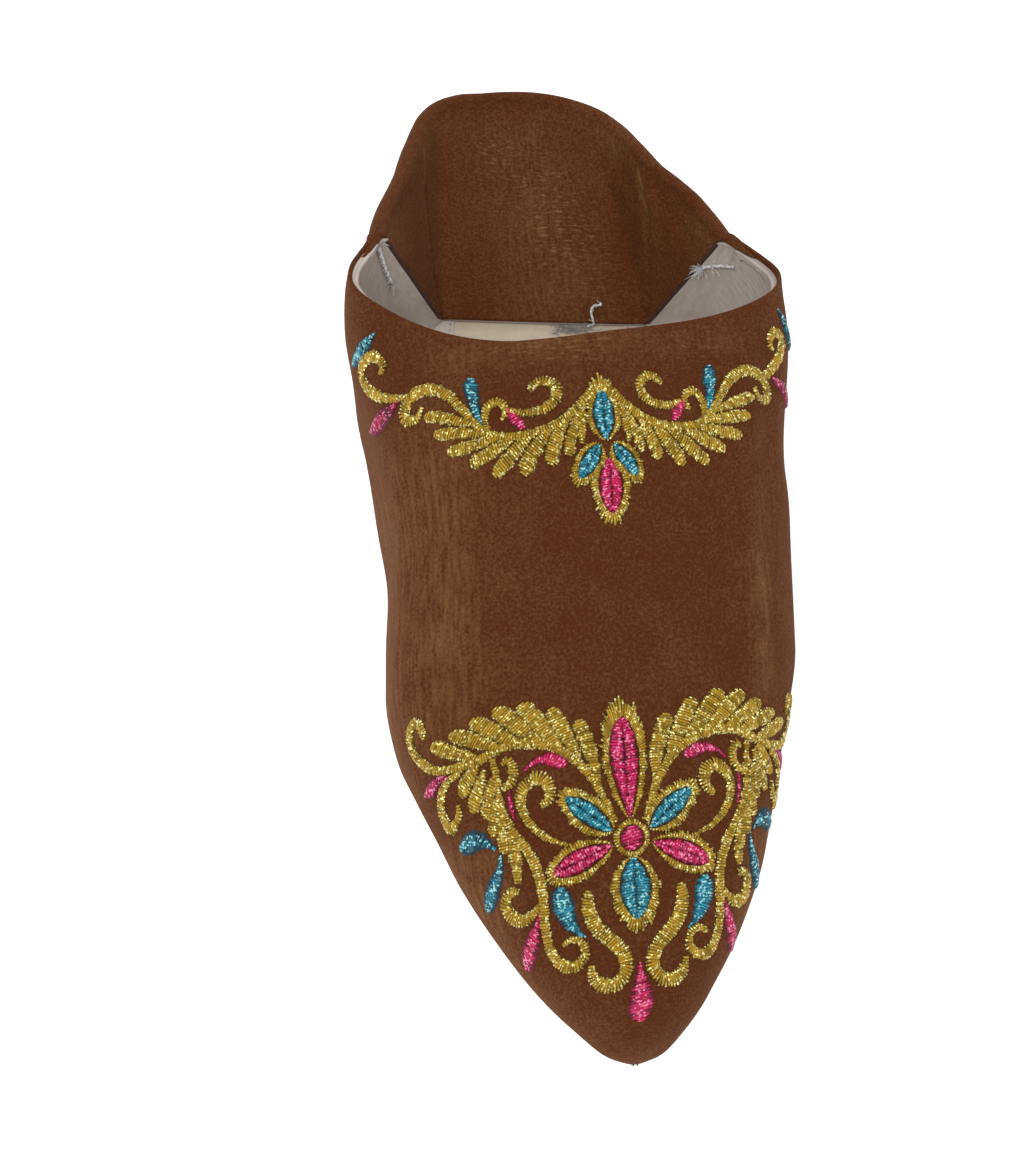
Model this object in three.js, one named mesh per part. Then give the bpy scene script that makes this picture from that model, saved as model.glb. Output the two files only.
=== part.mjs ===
// A backless leather slipper with a pointed toe, whose heel piece is folded down on the insole.
// It stands on its sole with the toe towards -Y, the heel towards +Y and the top towards +Z.
// Millimetres. The origin is the middle of the underside of the whole slipper's box.
import * as THREE from "three";

// Driving dimensions.
const soleLength = 262;
const soleBallWidth = 88.5;
const seatWidth = 61;
const seatLength = 34;
const ballWidth = 97;
const instepHeight = 63.5;
const throatStation = 102.5;
const earHeight = 42;
const heelHeight = 14;
const noseHeight = 12;
const noseLength = 10;
const toeSpring = 5;
const archRise = 1.2;

// Thicknesses, and the gap that pieces keep where they meet.
const outsoleThickness = 1.8;
const midsoleThickness = 3.2;
const insoleThickness = 1.6;
const wallThickness = 2;
const gap = 0.3;

// Levels above the flat underside, from the ground up.
const midsoleLevel = outsoleThickness + gap;
const featherLevel = midsoleLevel + midsoleThickness + gap;
const insoleTop = featherLevel + insoleThickness;

// The two side seams, where the heel piece meets the vamp: left is -X, right is +X.
const seamStation = 63;
const seamTwist = 1.8;
const earTwist = 1;

// Outline of the sole: exponents of the toe, and the share of the length where each stretch starts.
const ballShare = 0.655;
const toeTaper = 1.38;
const toeBluntness = 1.42;
const archStart = 0.29;
const treadStart = 0.56;
const springStart = 0.72;

// The vamp's sections along the length, as shares of the sole length and of half the ball width.
// swing moves the section sideways, bulge is how far the side stands out past the feather edge,
// flare opens the collar, and square is the exponent of the crown: small is boxy, one is round.
const sections = [
  { at: 0.0, swing: 0.0, bulge: 0.18, flare: 0.34, square: 0.26 },
  { at: 0.23, swing: 0.0, bulge: 0.18, flare: 0.34, square: 0.26 },
  { at: 0.34, swing: 0.0, bulge: 0.31, flare: 0.12, square: 0.4 },
  { at: 0.5, swing: 0.0, bulge: 0.14, flare: 0.0, square: 0.46 },
  { at: 0.655, swing: -0.05, bulge: 0.106, flare: 0.0, square: 0.63 },
  { at: 0.78, swing: -0.078, bulge: 0.106, flare: 0.0, square: 0.75 },
  { at: 1.0, swing: -0.078, bulge: 0.106, flare: 0.0, square: 0.95 },
];
const widestRise = 10.5;
const sideClosing = 25;
const widestClosing = 40;
const crownPower = 0.6;
const collarPower = 3.2;
const throatSkew = 1.7;
const thinReach = 10;
const innerTipWalls = 1.2;

// The folded heel piece. The flap leaves the fold steeper at the ears than at the back.
const foldRadius = 2.4;
const heelBulge = 2.5;
const heelLean = 0.03;
const heelBackShare = 0.2;
const descentAtBack = 38;
const descentAtEars = 76;
const flapLeadIn = 5;
const arcShare = 0.635;
const flapStation = 68.5;
const flapHalfWidth = 27;
const flapEarReach = 40;
const flapEarDrop = 10;
const flapEdgePower = 6;
const creaseShare = 0.36;
const creaseSoftness = 1.2;

// Insets of the sole's layers from its outline, and how many of them a layer loses in length.
const outsoleInset = 1.5;
const insoleInset = wallThickness + 2 * gap;
const insetsInLength = 2.3;

// Mesh fineness. The vamp's rows crowd towards the tip by a power.
const soleRows = 44;
const vampRows = 26;
const vampColumns = 44;
const heelColumns = 44;
const wallSteps = 5;
const foldSteps = 5;
const flapSteps = 9;
const sectionSteps = 60;
const vampCrowding = 1.8;
const shortestEdge = 1e-4;
const smallTurn = 1e-3;

const clamp01 = (value) => Math.min(1, Math.max(0, value));
const mix = (a, b, share) => a + (b - a) * share;
const smooth = (share) => share * share * (3 - 2 * share);
const quarterArc = (share) => Math.sqrt(1 - (1 - clamp01(share)) ** 2);

// Slope of a table's column at one row: none at a peak or an end, else a mean of both sides.
function rowSlope(table, column, row) {
  if (row === 0 || row === table.length - 1) return 0;
  const before = (table[row][column] - table[row - 1][column]) / (table[row].at - table[row - 1].at);
  const after = (table[row + 1][column] - table[row][column]) / (table[row + 1].at - table[row].at);
  return before * after > 0 ? (2 * before * after) / (before + after) : 0;
}

// A table's column between its rows, as a smooth curve without overshoot.
function along(table, column, at) {
  const last = table.length - 1;
  if (at <= table[0].at) return table[0][column];
  if (at >= table[last].at) return table[last][column];
  const row = table.findIndex((entry) => entry.at > at) - 1;
  const span = table[row + 1].at - table[row].at;
  const t = (at - table[row].at) / span;
  return (
    mix(table[row][column], table[row + 1][column], smooth(t)) +
    span * rowSlope(table, column, row) * t * (1 - t) ** 2 -
    span * rowSlope(table, column, row + 1) * t * t * (1 - t)
  );
}

// Sole shape: every function takes the station, the distance from the back of the heel.
const swing = (station) => (along(sections, "swing", station / soleLength) * ballWidth) / 2;

// Half the width of the sole: a heel arc, a straight seat, a slow widening and the tapered toe.
function soleHalfWidth(station) {
  const ballStation = ballShare * soleLength;
  if (station < seatLength) return (seatWidth / 2) * quarterArc(station / seatLength);
  if (station < ballStation) {
    const share = clamp01((station - seamStation) / (ballStation - seamStation));
    return mix(seatWidth, soleBallWidth, Math.sin((share * Math.PI) / 2)) / 2;
  }
  const left = clamp01((soleLength - station) / (soleLength - ballStation));
  return (soleBallWidth / 2) * (1 - (1 - left) ** toeTaper) ** (1 / toeBluntness);
}

// Rise of the underside: flat at the heel and the tread, a low arch between, and the toe spring.
function rise(station) {
  const share = station / soleLength;
  const arch = clamp01((share - archStart) / (treadStart - archStart));
  const spring = clamp01((share - springStart) / (1 - springStart));
  return archRise * Math.sin(Math.PI * arch) ** 2 + toeSpring * spring ** 2;
}

// What is left of a size once a skin of the given thickness is taken off, never less than nothing.
const thinned = (size, skin) => size - skin * Math.tanh(size / thinReach);

// Vamp: the section at a station, from the crown at share 0 to the feather edge at share 1.
// skin is 0 for the outer surface and the wall's thickness for the inner one.
function sectionOf(station, skin) {
  const reach = station * (soleLength / (soleLength - innerTipWalls * skin));
  const left = Math.max(0, soleLength - reach);
  const share = reach / soleLength;
  const nose = noseHeight * quarterArc(left / noseLength);
  const climb = (left / (soleLength - throatStation)) ** crownPower;
  const crown = thinned(nose + (instepHeight - featherLevel - noseHeight) * climb, skin);
  const feather = thinned(soleHalfWidth(reach), skin);
  const bulge = (along(sections, "bulge", share) * ballWidth) / 2;
  return {
    feather,
    crown,
    body: feather + bulge * quarterArc(left / sideClosing),
    widest: Math.min(crown / 2, widestRise * Math.sqrt(Math.min(1, left / widestClosing))),
    flare: (along(sections, "flare", share) * ballWidth) / 2,
    square: along(sections, "square", share),
  };
}

// Half the vamp's width at a height above the feather edge.
function halfWidthAt(section, height) {
  const { feather, crown, body, widest, flare, square } = section;
  if (height <= widest) return body - (body - feather) * (1 - height / widest) ** 2;
  const share = clamp01((height - widest) / (crown - widest));
  return (body + flare * share) * Math.sqrt(1 - share ** (2 / square));
}

// One half of a section as [across, height] pairs, finely stepped from crown to feather edge.
function sectionCurve(section) {
  const { crown, body, widest, flare, square } = section;
  const curve = [];
  for (let step = 0; step <= sectionSteps; step++) {
    const turn = 1 - (1 - step / sectionSteps) ** (1 / square);
    const share = Math.cos((Math.PI / 2) * turn) ** square;
    const across = (body + flare * share) * Math.sin((Math.PI / 2) * turn);
    curve.push([across, widest + (crown - widest) * (step < sectionSteps ? share : 0)]);
  }
  for (let step = 1; step <= sectionSteps / 3; step++) {
    const height = widest * (1 - (3 * step) / sectionSteps);
    curve.push([halfWidthAt(section, height), height]);
  }
  return curve;
}

// Length along a curve at each of its points.
function lengths(curve) {
  const run = [0];
  for (let i = 1; i < curve.length; i++) {
    run.push(run[i - 1] + Math.hypot(curve[i][0] - curve[i - 1][0], curve[i][1] - curve[i - 1][1]));
  }
  return run;
}

// Point of the vamp at a share of the half girth, negative on the left side.
function vampPoint(station, share, skin) {
  const curve = sectionCurve(sectionOf(station, skin));
  const run = lengths(curve);
  const goal = Math.abs(share) * run[run.length - 1];
  const next = Math.max(1, run.findIndex((length) => length >= goal - 1e-9));
  const part = run[next] > run[next - 1] ? (goal - run[next - 1]) / (run[next] - run[next - 1]) : 0;
  const across = mix(curve[next - 1][0], curve[next][0], clamp01(part));
  const height = mix(curve[next - 1][1], curve[next][1], clamp01(part));
  return new THREE.Vector3(
    swing(station) + Math.sign(share) * across,
    soleLength / 2 - station,
    featherLevel + rise(station) + height,
  );
}

// Side seams and ears: side is -1 on the left and +1 on the right.
const seamAt = (side) => seamStation + side * seamTwist;
const earAt = (side) => earHeight - side * earTwist;

// Share of the half girth at which the vamp's rear edge reaches the ear.
function earShare(side) {
  const curve = sectionCurve(sectionOf(seamAt(side), 0));
  const run = lengths(curve);
  const top = curve.findIndex((point) => point[1] < earAt(side) - featherLevel);
  return run[top] / run[run.length - 1];
}

// Station of the vamp's rear edge: the throat in the middle, the ears, and the seams below them.
function collarStation(share) {
  const side = share < 0 ? -1 : 1;
  const part = clamp01(Math.abs(share) / earShare(side));
  const throat = throatStation - side * throatSkew * Math.sin(Math.PI * part);
  return seamAt(side) + (throat - seamAt(side)) * (1 - part ** collarPower);
}

// Upper surface of the vamp, a row for each step from the collar to the toe's tip.
function vampGrid(skin) {
  const tip = soleLength - innerTipWalls * skin;
  const grid = [];
  for (let row = 0; row < vampRows; row++) {
    const way = 1 - (1 - row / vampRows) ** vampCrowding;
    const points = [];
    for (let column = 0; column <= vampColumns; column++) {
      const share = (2 * column) / vampColumns - 1;
      points.push(vampPoint(mix(collarStation(share), tip, way), share, skin));
    }
    grid.push(points);
  }
  const tipPoint = new THREE.Vector3(swing(tip), soleLength / 2 - tip, featherLevel + rise(tip));
  grid.push(grid[0].map(() => tipPoint.clone()));
  return grid;
}

// Heel piece: turn runs from -1 at the left seam over 0 at the back to +1 at the right seam.
function heelBase(turn) {
  const side = Math.sign(turn) || 1;
  const run = Math.abs(turn);
  const angle = (Math.PI / 2) * Math.min(1, run / arcShare);
  const straight = clamp01((run - arcShare) / (1 - arcShare));
  const station = seatLength * (1 - Math.cos(angle)) + straight * (seamAt(side) - gap - seatLength);
  const outward = new THREE.Vector3(
    (side * Math.sin(angle)) / seatWidth,
    Math.cos(angle) / (2 * seatLength),
    0,
  ).normalize();
  return { station, outward, across: (side * seatWidth * Math.sin(angle)) / 2 };
}

// How far the heel piece's wall stands out of the sole's outline at a height above the feather edge.
function heelReach(turn, height) {
  const side = Math.sign(turn) || 1;
  const seam = sectionOf(seamAt(side), 0);
  const atSeam = halfWidthAt(seam, height) - seam.feather;
  const low = Math.min(1, height / widestRise);
  const atBack = heelBulge * (1 - (1 - low) ** 2) - heelLean * Math.max(0, height - widestRise);
  const way = clamp01((Math.abs(turn) - heelBackShare) / (1 - heelBackShare));
  return mix(atBack, atSeam, smooth(way));
}

// Top of the fold, falling from the ears to the back of the heel.
function foldTop(turn, station) {
  const side = Math.sign(turn) || 1;
  return mix(heelHeight, earAt(side), clamp01(station / (seamAt(side) - gap)));
}

// Point of the flap's free edge: a flat middle on the insole, and two slanting ends up to the ears.
function flapEdge(turn) {
  const side = Math.sign(turn) || 1;
  const run = Math.abs(turn);
  const reach =
    run < creaseShare
      ? flapHalfWidth * (run / creaseShare)
      : mix(flapHalfWidth, flapEarReach, (run - creaseShare) / (1 - creaseShare));
  const rest = insoleTop + gap + wallThickness;
  const climb = (earAt(side) - flapEarDrop - rest) / (flapEarReach - flapHalfWidth);
  const past = creaseSoftness * Math.log(1 + Math.exp((reach - flapHalfWidth) / creaseSoftness));
  const station = mix(flapStation, seamAt(side) - gap, run ** flapEdgePower);
  return new THREE.Vector3(side * reach, soleLength / 2 - station, rest + climb * past);
}

// Point of the heel piece's outer side: step runs up the wall, over the fold and down the flap.
function heelPoint(turn, step) {
  const { station, outward, across } = heelBase(turn);
  const foot = new THREE.Vector3(across, soleLength / 2 - station, featherLevel);
  const top = foldTop(turn, station) - foldRadius;
  const at = (height) =>
    foot
      .clone()
      .addScaledVector(outward, heelReach(turn, height - featherLevel))
      .setZ(height);
  if (step <= wallSteps) return at(mix(featherLevel, top, step / wallSteps));
  const descent = THREE.MathUtils.degToRad(mix(descentAtBack, descentAtEars, smooth(Math.abs(turn))));
  const centre = at(top).addScaledVector(outward, -foldRadius);
  const round = clamp01((step - wallSteps) / foldSteps) * (Math.PI / 2 + descent);
  const onFold = centre
    .addScaledVector(outward, foldRadius * Math.cos(round))
    .setZ(top + foldRadius * Math.sin(round));
  if (step <= wallSteps + foldSteps) return onFold;
  const down = outward.clone().multiplyScalar(-Math.cos(descent)).setZ(-Math.sin(descent));
  const edge = flapEdge(turn);
  const span = edge.distanceTo(onFold);
  const towards = edge.clone().sub(onFold).normalize();
  const flap = new THREE.CubicBezierCurve3(
    onFold,
    onFold.clone().addScaledVector(down, Math.min(flapLeadIn, span / 3)),
    edge.clone().addScaledVector(towards, -span / 3),
    edge,
  );
  return flap.getPoint((step - wallSteps - foldSteps) / flapSteps);
}

// The heel piece's inner side: each point moved in by the wall's thickness, square to the sheet.
function heelInnerPoint(turn, step) {
  const ends = wallSteps + foldSteps + flapSteps;
  const onSheet = (a, b) => heelPoint(THREE.MathUtils.clamp(a, -1, 1), THREE.MathUtils.clamp(b, 0, ends));
  const alongTurn = onSheet(turn + smallTurn, step).sub(onSheet(turn - smallTurn, step));
  const upStep = onSheet(turn, step + smallTurn).sub(onSheet(turn, step - smallTurn));
  const normal = alongTurn.cross(upStep).normalize();
  const inner = heelPoint(turn, step).addScaledVector(normal, wallThickness);
  return step === 0 ? inner.setZ(featherLevel) : inner;
}

function heelGrid(pointOf) {
  const grid = [];
  for (let column = 0; column <= heelColumns; column++) {
    const turn = (2 * column) / heelColumns - 1;
    const points = [];
    for (let step = 0; step <= wallSteps + foldSteps + flapSteps; step++) {
      points.push(pointOf(turn, step));
    }
    grid.push(points);
  }
  return grid;
}

// Sole layers: a sheet between two levels, inset from the sole's outline, a row for each station.
function soleGrid(inset, level) {
  const grid = [];
  const insetLength = soleLength - insetsInLength * inset;
  for (let row = 0; row <= soleRows; row++) {
    const share = (1 - Math.cos((Math.PI * row) / soleRows)) / 2;
    const half = thinned(soleHalfWidth(share * soleLength), inset);
    const station = inset + share * insetLength;
    const middle = swing(station);
    const height = level + rise(station);
    grid.push(
      [-half, half].map((side) => new THREE.Vector3(middle + side, soleLength / 2 - station, height)),
    );
  }
  return grid;
}

// A closed solid between two grids of the same size: outer faces out, and a rim joins their edges.
function shellGeometry(outer, inner) {
  const positions = [];
  const face = (a, b, c) => {
    if (Math.min(a.distanceTo(b), b.distanceTo(c), c.distanceTo(a)) < shortestEdge) return;
    [a, b, c].forEach((point) => positions.push(point.x, point.y, point.z));
  };
  const quad = (a, b, c, d) => {
    face(a, b, d);
    face(b, c, d);
  };
  const rows = outer.length - 1;
  const columns = outer[0].length - 1;
  for (let i = 0; i < rows; i++) {
    for (let j = 0; j < columns; j++) {
      quad(outer[i][j], outer[i + 1][j], outer[i + 1][j + 1], outer[i][j + 1]);
      quad(inner[i][j], inner[i][j + 1], inner[i + 1][j + 1], inner[i + 1][j]);
    }
    quad(outer[i + 1][0], outer[i][0], inner[i][0], inner[i + 1][0]);
    quad(outer[i][columns], outer[i + 1][columns], inner[i + 1][columns], inner[i][columns]);
  }
  for (let j = 0; j < columns; j++) {
    quad(outer[0][j], outer[0][j + 1], inner[0][j + 1], inner[0][j]);
    quad(outer[rows][j + 1], outer[rows][j], inner[rows][j], inner[rows][j + 1]);
  }
  const geometry = new THREE.BufferGeometry();
  geometry.setAttribute("position", new THREE.Float32BufferAttribute(positions, 3));
  geometry.computeVertexNormals();
  return geometry;
}

function piece(name, geometry, color, roughness) {
  const mesh = new THREE.Mesh(
    geometry,
    new THREE.MeshStandardMaterial({ color, roughness, metalness: 0 }),
  );
  mesh.name = name;
  return mesh;
}

// A sole layer from a lower to an upper level.
function soleLayer(inset, lower, upper) {
  return shellGeometry(soleGrid(inset, upper), soleGrid(inset, lower));
}

const slipper = new THREE.Group();
slipper.add(
  piece("outsole", soleLayer(outsoleInset, 0, outsoleThickness), 0x1b1916, 0.8),
  piece("midsole", soleLayer(0, midsoleLevel, midsoleLevel + midsoleThickness), 0x6f5c3c, 0.65),
  piece("insole", soleLayer(insoleInset, featherLevel, insoleTop), 0xc9bda4, 0.6),
  piece("upper", shellGeometry(vampGrid(0), vampGrid(wallThickness)), 0x5c3018, 0.95),
  piece("heel_counter", shellGeometry(heelGrid(heelInnerPoint), heelGrid(heelPoint)), 0x5c3018, 0.95),
);

// The whole is moved so that its box stands centred on the origin.
const box = new THREE.Box3().setFromObject(slipper);
const centre = box.getCenter(new THREE.Vector3());
slipper.children.forEach((mesh) => mesh.geometry.translate(-centre.x, -centre.y, -box.min.z));

export default slipper;
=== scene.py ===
"""Looks of one babouche slipper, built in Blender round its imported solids.

Lengths inside the classes are millimetres in the maker's frame: station is the distance from the
back of the heel, across is measured over the skin from the middle of the vamp. Meshes are written
in metres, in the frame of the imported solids.
"""

import logging
import math
from dataclasses import dataclass, field
from enum import Enum

import bmesh
import bpy
import numpy as np
from mathutils import Matrix, Vector


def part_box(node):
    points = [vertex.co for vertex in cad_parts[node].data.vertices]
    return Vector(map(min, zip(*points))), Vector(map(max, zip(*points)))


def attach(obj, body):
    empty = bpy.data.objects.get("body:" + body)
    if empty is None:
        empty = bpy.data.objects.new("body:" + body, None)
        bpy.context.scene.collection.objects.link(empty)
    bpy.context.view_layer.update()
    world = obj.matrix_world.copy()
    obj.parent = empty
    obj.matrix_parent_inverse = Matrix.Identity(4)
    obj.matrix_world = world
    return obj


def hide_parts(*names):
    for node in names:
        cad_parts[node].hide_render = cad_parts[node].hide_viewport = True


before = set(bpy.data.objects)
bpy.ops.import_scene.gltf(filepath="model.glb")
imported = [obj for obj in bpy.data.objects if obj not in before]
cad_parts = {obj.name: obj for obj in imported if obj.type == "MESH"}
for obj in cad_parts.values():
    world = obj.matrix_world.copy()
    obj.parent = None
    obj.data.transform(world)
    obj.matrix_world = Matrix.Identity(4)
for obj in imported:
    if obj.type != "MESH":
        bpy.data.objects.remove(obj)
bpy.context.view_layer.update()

MM = 0.001  # metres in a millimetre
SEED = 1207
CLOSE = 0.004  # millimetres under which a closed piece's points are joined
GUIDE = np.array([0.31, 0.22, 0.93])  # a direction in which no cord runs
SWEEP_GIRTH = 4.0  # millimetres of UV once round a swept outline
LOG = logging.getLogger("babouche")
Array = np.ndarray
Socket = bpy.types.NodeSocket


# ---- curves


def monotone(knots: Array, values: Array, at: Array) -> Array:
    """Smooth curve through table values without overshoot.

    Cubic between knots; the slope at a knot is the harmonic mean of both sides, none at a peak.

    Args:
        knots: Places of the table's rows, rising.
        values: The table's values.
        at: Places to read.

    Returns:
        The curve's values.
    """
    knots, values = np.asarray(knots, float), np.asarray(values, float)
    at = np.clip(np.asarray(at, float), knots[0], knots[-1])
    rates = np.diff(values) / np.diff(knots)
    slopes = np.zeros(len(knots))
    before, after = rates[:-1], rates[1:]
    same = before * after > 0
    total = np.where(same, before + after, 1.0)
    slopes[1:-1] = np.where(same, 2 * before * after / total, 0.0)
    row = np.clip(np.searchsorted(knots, at, side="right") - 1, 0, len(knots) - 2)
    span = knots[row + 1] - knots[row]
    t = (at - knots[row]) / span
    return (
        values[row]
        + (values[row + 1] - values[row]) * t * t * (3 - 2 * t)
        + span * slopes[row] * t * (1 - t) ** 2
        - span * slopes[row + 1] * t * t * (1 - t)
    )


def spline(knots: Array, values: Array, at: Array) -> Array:
    """Cubic curve through points, with each slope taken from both neighbours.

    Args:
        knots: Distance along the points, rising.
        values: One row for each knot.
        at: Distances to read.

    Returns:
        One row for each distance.
    """
    slopes = np.gradient(values, knots, axis=0)
    row = np.clip(np.searchsorted(knots, at, side="right") - 1, 0, len(knots) - 2)
    span = (knots[row + 1] - knots[row])[:, None]
    t = (at[:, None] - knots[row][:, None]) / span
    return (
        values[row] * (1 + 2 * t) * (1 - t) ** 2
        + values[row + 1] * t * t * (3 - 2 * t)
        + span * slopes[row] * t * (1 - t) ** 2
        - span * slopes[row + 1] * t * t * (1 - t)
    )


def smooth(share: Array) -> Array:
    """Soft step from 0 to 1: 3 t² - 2 t³, held at both ends."""
    t = np.clip(share, 0, 1)
    return t * t * (3 - 2 * t)


def quarter_arc(share: Array) -> Array:
    """Height of a quarter circle at a share of its width."""
    return np.sqrt(1 - (1 - np.clip(share, 0, 1)) ** 2)


def bump_at(value: Array, centre: float, reach: float) -> Array:
    """Bell of height 1 round a centre: exp(-((v - c) / r)²)."""
    return np.exp(-(((value - centre) / reach) ** 2))


def unit(vectors: Array) -> Array:
    """Vectors brought to length one."""
    return vectors / np.maximum(np.linalg.norm(vectors, axis=-1, keepdims=True), 1e-9)


# ---- the last


@dataclass(frozen=True)
class Last:
    """Shape of the slipper: the same sizes and formulas as its solids."""

    sole_length: float = 262.0
    sole_ball_width: float = 88.5
    seat_width: float = 61.0
    seat_length: float = 34.0
    ball_width: float = 97.0
    instep_height: float = 63.5
    throat_station: float = 102.5
    ear_height: float = 42.0
    heel_height: float = 14.0
    nose_height: float = 12.0
    nose_length: float = 10.0
    toe_spring: float = 5.0
    arch_rise: float = 1.2
    outsole: float = 1.8
    midsole: float = 3.2
    insole: float = 1.6
    wall: float = 2.0
    gap: float = 0.3
    seam_station: float = 63.0
    seam_twist: float = 1.8
    ear_twist: float = 1.0
    ball_share: float = 0.655
    toe_taper: float = 1.38
    toe_bluntness: float = 1.42
    arch_start: float = 0.29
    tread_start: float = 0.56
    spring_start: float = 0.72
    widest_rise: float = 10.5
    side_closing: float = 25.0
    widest_closing: float = 40.0
    crown_power: float = 0.6
    collar_power: float = 3.2
    throat_skew: float = 1.7
    fold_radius: float = 2.4
    heel_bulge: float = 2.5
    arc_share: float = 0.635
    flap_station: float = 68.5
    flap_half_width: float = 27.0
    crease_share: float = 0.36
    at: tuple = (0.0, 0.23, 0.34, 0.5, 0.655, 0.78, 1.0)
    swing_by: tuple = (0.0, 0.0, 0.0, 0.0, -0.05, -0.078, -0.078)
    bulge_by: tuple = (0.18, 0.18, 0.31, 0.14, 0.106, 0.106, 0.106)
    flare_by: tuple = (0.34, 0.34, 0.12, 0.0, 0.0, 0.0, 0.0)
    square_by: tuple = (0.26, 0.26, 0.4, 0.46, 0.63, 0.75, 0.95)
    section_steps: int = 60

    @property
    def midsole_level(self) -> float:
        """Underside of the midsole."""
        return self.outsole + self.gap

    @property
    def feather_level(self) -> float:
        """Top of the midsole and the gap over it, where the upper starts."""
        return self.midsole_level + self.midsole + self.gap

    @property
    def insole_top(self) -> float:
        """Upper side of the insole."""
        return self.feather_level + self.insole

    def swing(self, station: Array) -> Array:
        """Sideways place of the section's middle."""
        return monotone(self.at, self.swing_by, station / self.sole_length) * self.ball_width / 2

    def sole_half_width(self, station: Array) -> Array:
        """Half the sole's width: heel arc, slow sine widening, tapered toe.

        Args:
            station: From the back of the heel.

        Returns:
            Half widths.
        """
        ball = self.ball_share * self.sole_length
        heel = self.seat_width / 2 * quarter_arc(station / self.seat_length)
        share = np.clip((station - self.seam_station) / (ball - self.seam_station), 0, 1)
        widening = (self.sole_ball_width - self.seat_width) * np.sin(share * np.pi / 2)
        middle = (self.seat_width + widening) / 2
        left = np.clip((self.sole_length - station) / (self.sole_length - ball), 0, 1)
        toe = self.sole_ball_width / 2 * (1 - (1 - left) ** self.toe_taper) ** (1 / self.toe_bluntness)
        return np.where(station < self.seat_length, heel, np.where(station < ball, middle, toe))

    def rise(self, station: Array) -> Array:
        """Rise of the underside: a low arch, and the toe spring.

        Args:
            station: From the back of the heel.

        Returns:
            Heights.
        """
        share = station / self.sole_length
        arch = np.clip((share - self.arch_start) / (self.tread_start - self.arch_start), 0, 1)
        spring = np.clip((share - self.spring_start) / (1 - self.spring_start), 0, 1)
        return self.arch_rise * np.sin(np.pi * arch) ** 2 + self.toe_spring * spring**2

    def section(self, station: Array) -> dict:
        """Sizes of the vamp's section at each station.

        Args:
            station: From the back of the heel.

        Returns:
            Feather and body half widths, crown, widest height, flare and squareness.
        """
        left = np.maximum(0, self.sole_length - station)
        share = station / self.sole_length
        nose = self.nose_height * quarter_arc(left / self.nose_length)
        climb = (left / (self.sole_length - self.throat_station)) ** self.crown_power
        crown = nose + (self.instep_height - self.feather_level - self.nose_height) * climb
        feather = self.sole_half_width(station)
        bulge = monotone(self.at, self.bulge_by, share) * self.ball_width / 2
        low = self.widest_rise * np.sqrt(np.minimum(1, left / self.widest_closing))
        return {
            "feather": feather,
            "crown": crown,
            "body": feather + bulge * quarter_arc(left / self.side_closing),
            "widest": np.minimum(crown / 2, low),
            "flare": monotone(self.at, self.flare_by, share) * self.ball_width / 2,
            "square": monotone(self.at, self.square_by, share),
        }

    @staticmethod
    def half_width_at(section: dict, height: Array) -> Array:
        """Half the section's width: a parabola below its widest place, a superellipse above.

        Args:
            section: Sizes of the section.
            height: Heights over the feather edge.

        Returns:
            Half widths.
        """
        widest = np.maximum(section["widest"], 1e-9)
        low = section["body"] - (section["body"] - section["feather"]) * (1 - height / widest) ** 2
        share = np.clip((height - widest) / np.maximum(section["crown"] - widest, 1e-9), 0, 1)
        round_off = np.sqrt(np.clip(1 - share ** (2 / section["square"]), 0, 1))
        return np.where(height <= widest, low, (section["body"] + section["flare"] * share) * round_off)

    def half_curve(self, station: Array) -> tuple:
        """One half of each section, from crown to feather edge.

        Args:
            station: One dimensional array of stations.

        Returns:
            Across, height and length along the curve, a row for each station.
        """
        section = {name: value[:, None] for name, value in self.section(station).items()}
        steps = self.section_steps
        part = np.arange(steps + 1) / steps
        turn = 1 - (1 - part) ** (1 / section["square"])
        share = np.clip(np.cos(np.pi / 2 * turn), 0, 1) ** section["square"]
        share[:, -1] = 0
        across = (section["body"] + section["flare"] * share) * np.sin(np.pi / 2 * turn)
        height = section["widest"] + (section["crown"] - section["widest"]) * share
        low = section["widest"] * (1 - 3 * np.arange(1, steps // 3 + 1) / steps)
        across = np.concatenate([across, self.half_width_at(section, low)], 1)
        height = np.concatenate([height, low], 1)
        step = np.hypot(np.diff(across, axis=1), np.diff(height, axis=1))
        run = np.concatenate([np.zeros((len(station), 1)), np.cumsum(step, 1)], 1)
        return across, height, run

    def seam_at(self, side: Array) -> Array:
        """Station of a side seam: side is -1 on the left, +1 on the right."""
        return self.seam_station + side * self.seam_twist

    def ear_at(self, side: Array) -> Array:
        """Height of an ear."""
        return self.ear_height - side * self.ear_twist

    def ear_share(self, side: float) -> float:
        """Share of the half girth at which the vamp's rear edge reaches the ear.

        Args:
            side: -1 on the left, +1 on the right.

        Returns:
            The share.
        """
        _, height, run = self.half_curve(np.array([self.seam_at(side)]))
        top = int(np.argmax(height[0] < self.ear_at(side) - self.feather_level))
        return float(run[0, top] / run[0, -1])

    def collar_station(self, share: Array) -> Array:
        """Station of the vamp's rear edge: seam + (throat - seam) (1 - part^power).

        Args:
            share: Share of the half girth, negative on the left.

        Returns:
            Stations.
        """
        side = np.where(share < 0, -1.0, 1.0)
        ear = np.where(share < 0, self.ear_share(-1), self.ear_share(1))
        part = np.clip(np.abs(share) / ear, 0, 1)
        throat = self.throat_station - side * self.throat_skew * np.sin(np.pi * part)
        seam = self.seam_at(side)
        return seam + (throat - seam) * (1 - part**self.collar_power)


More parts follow.
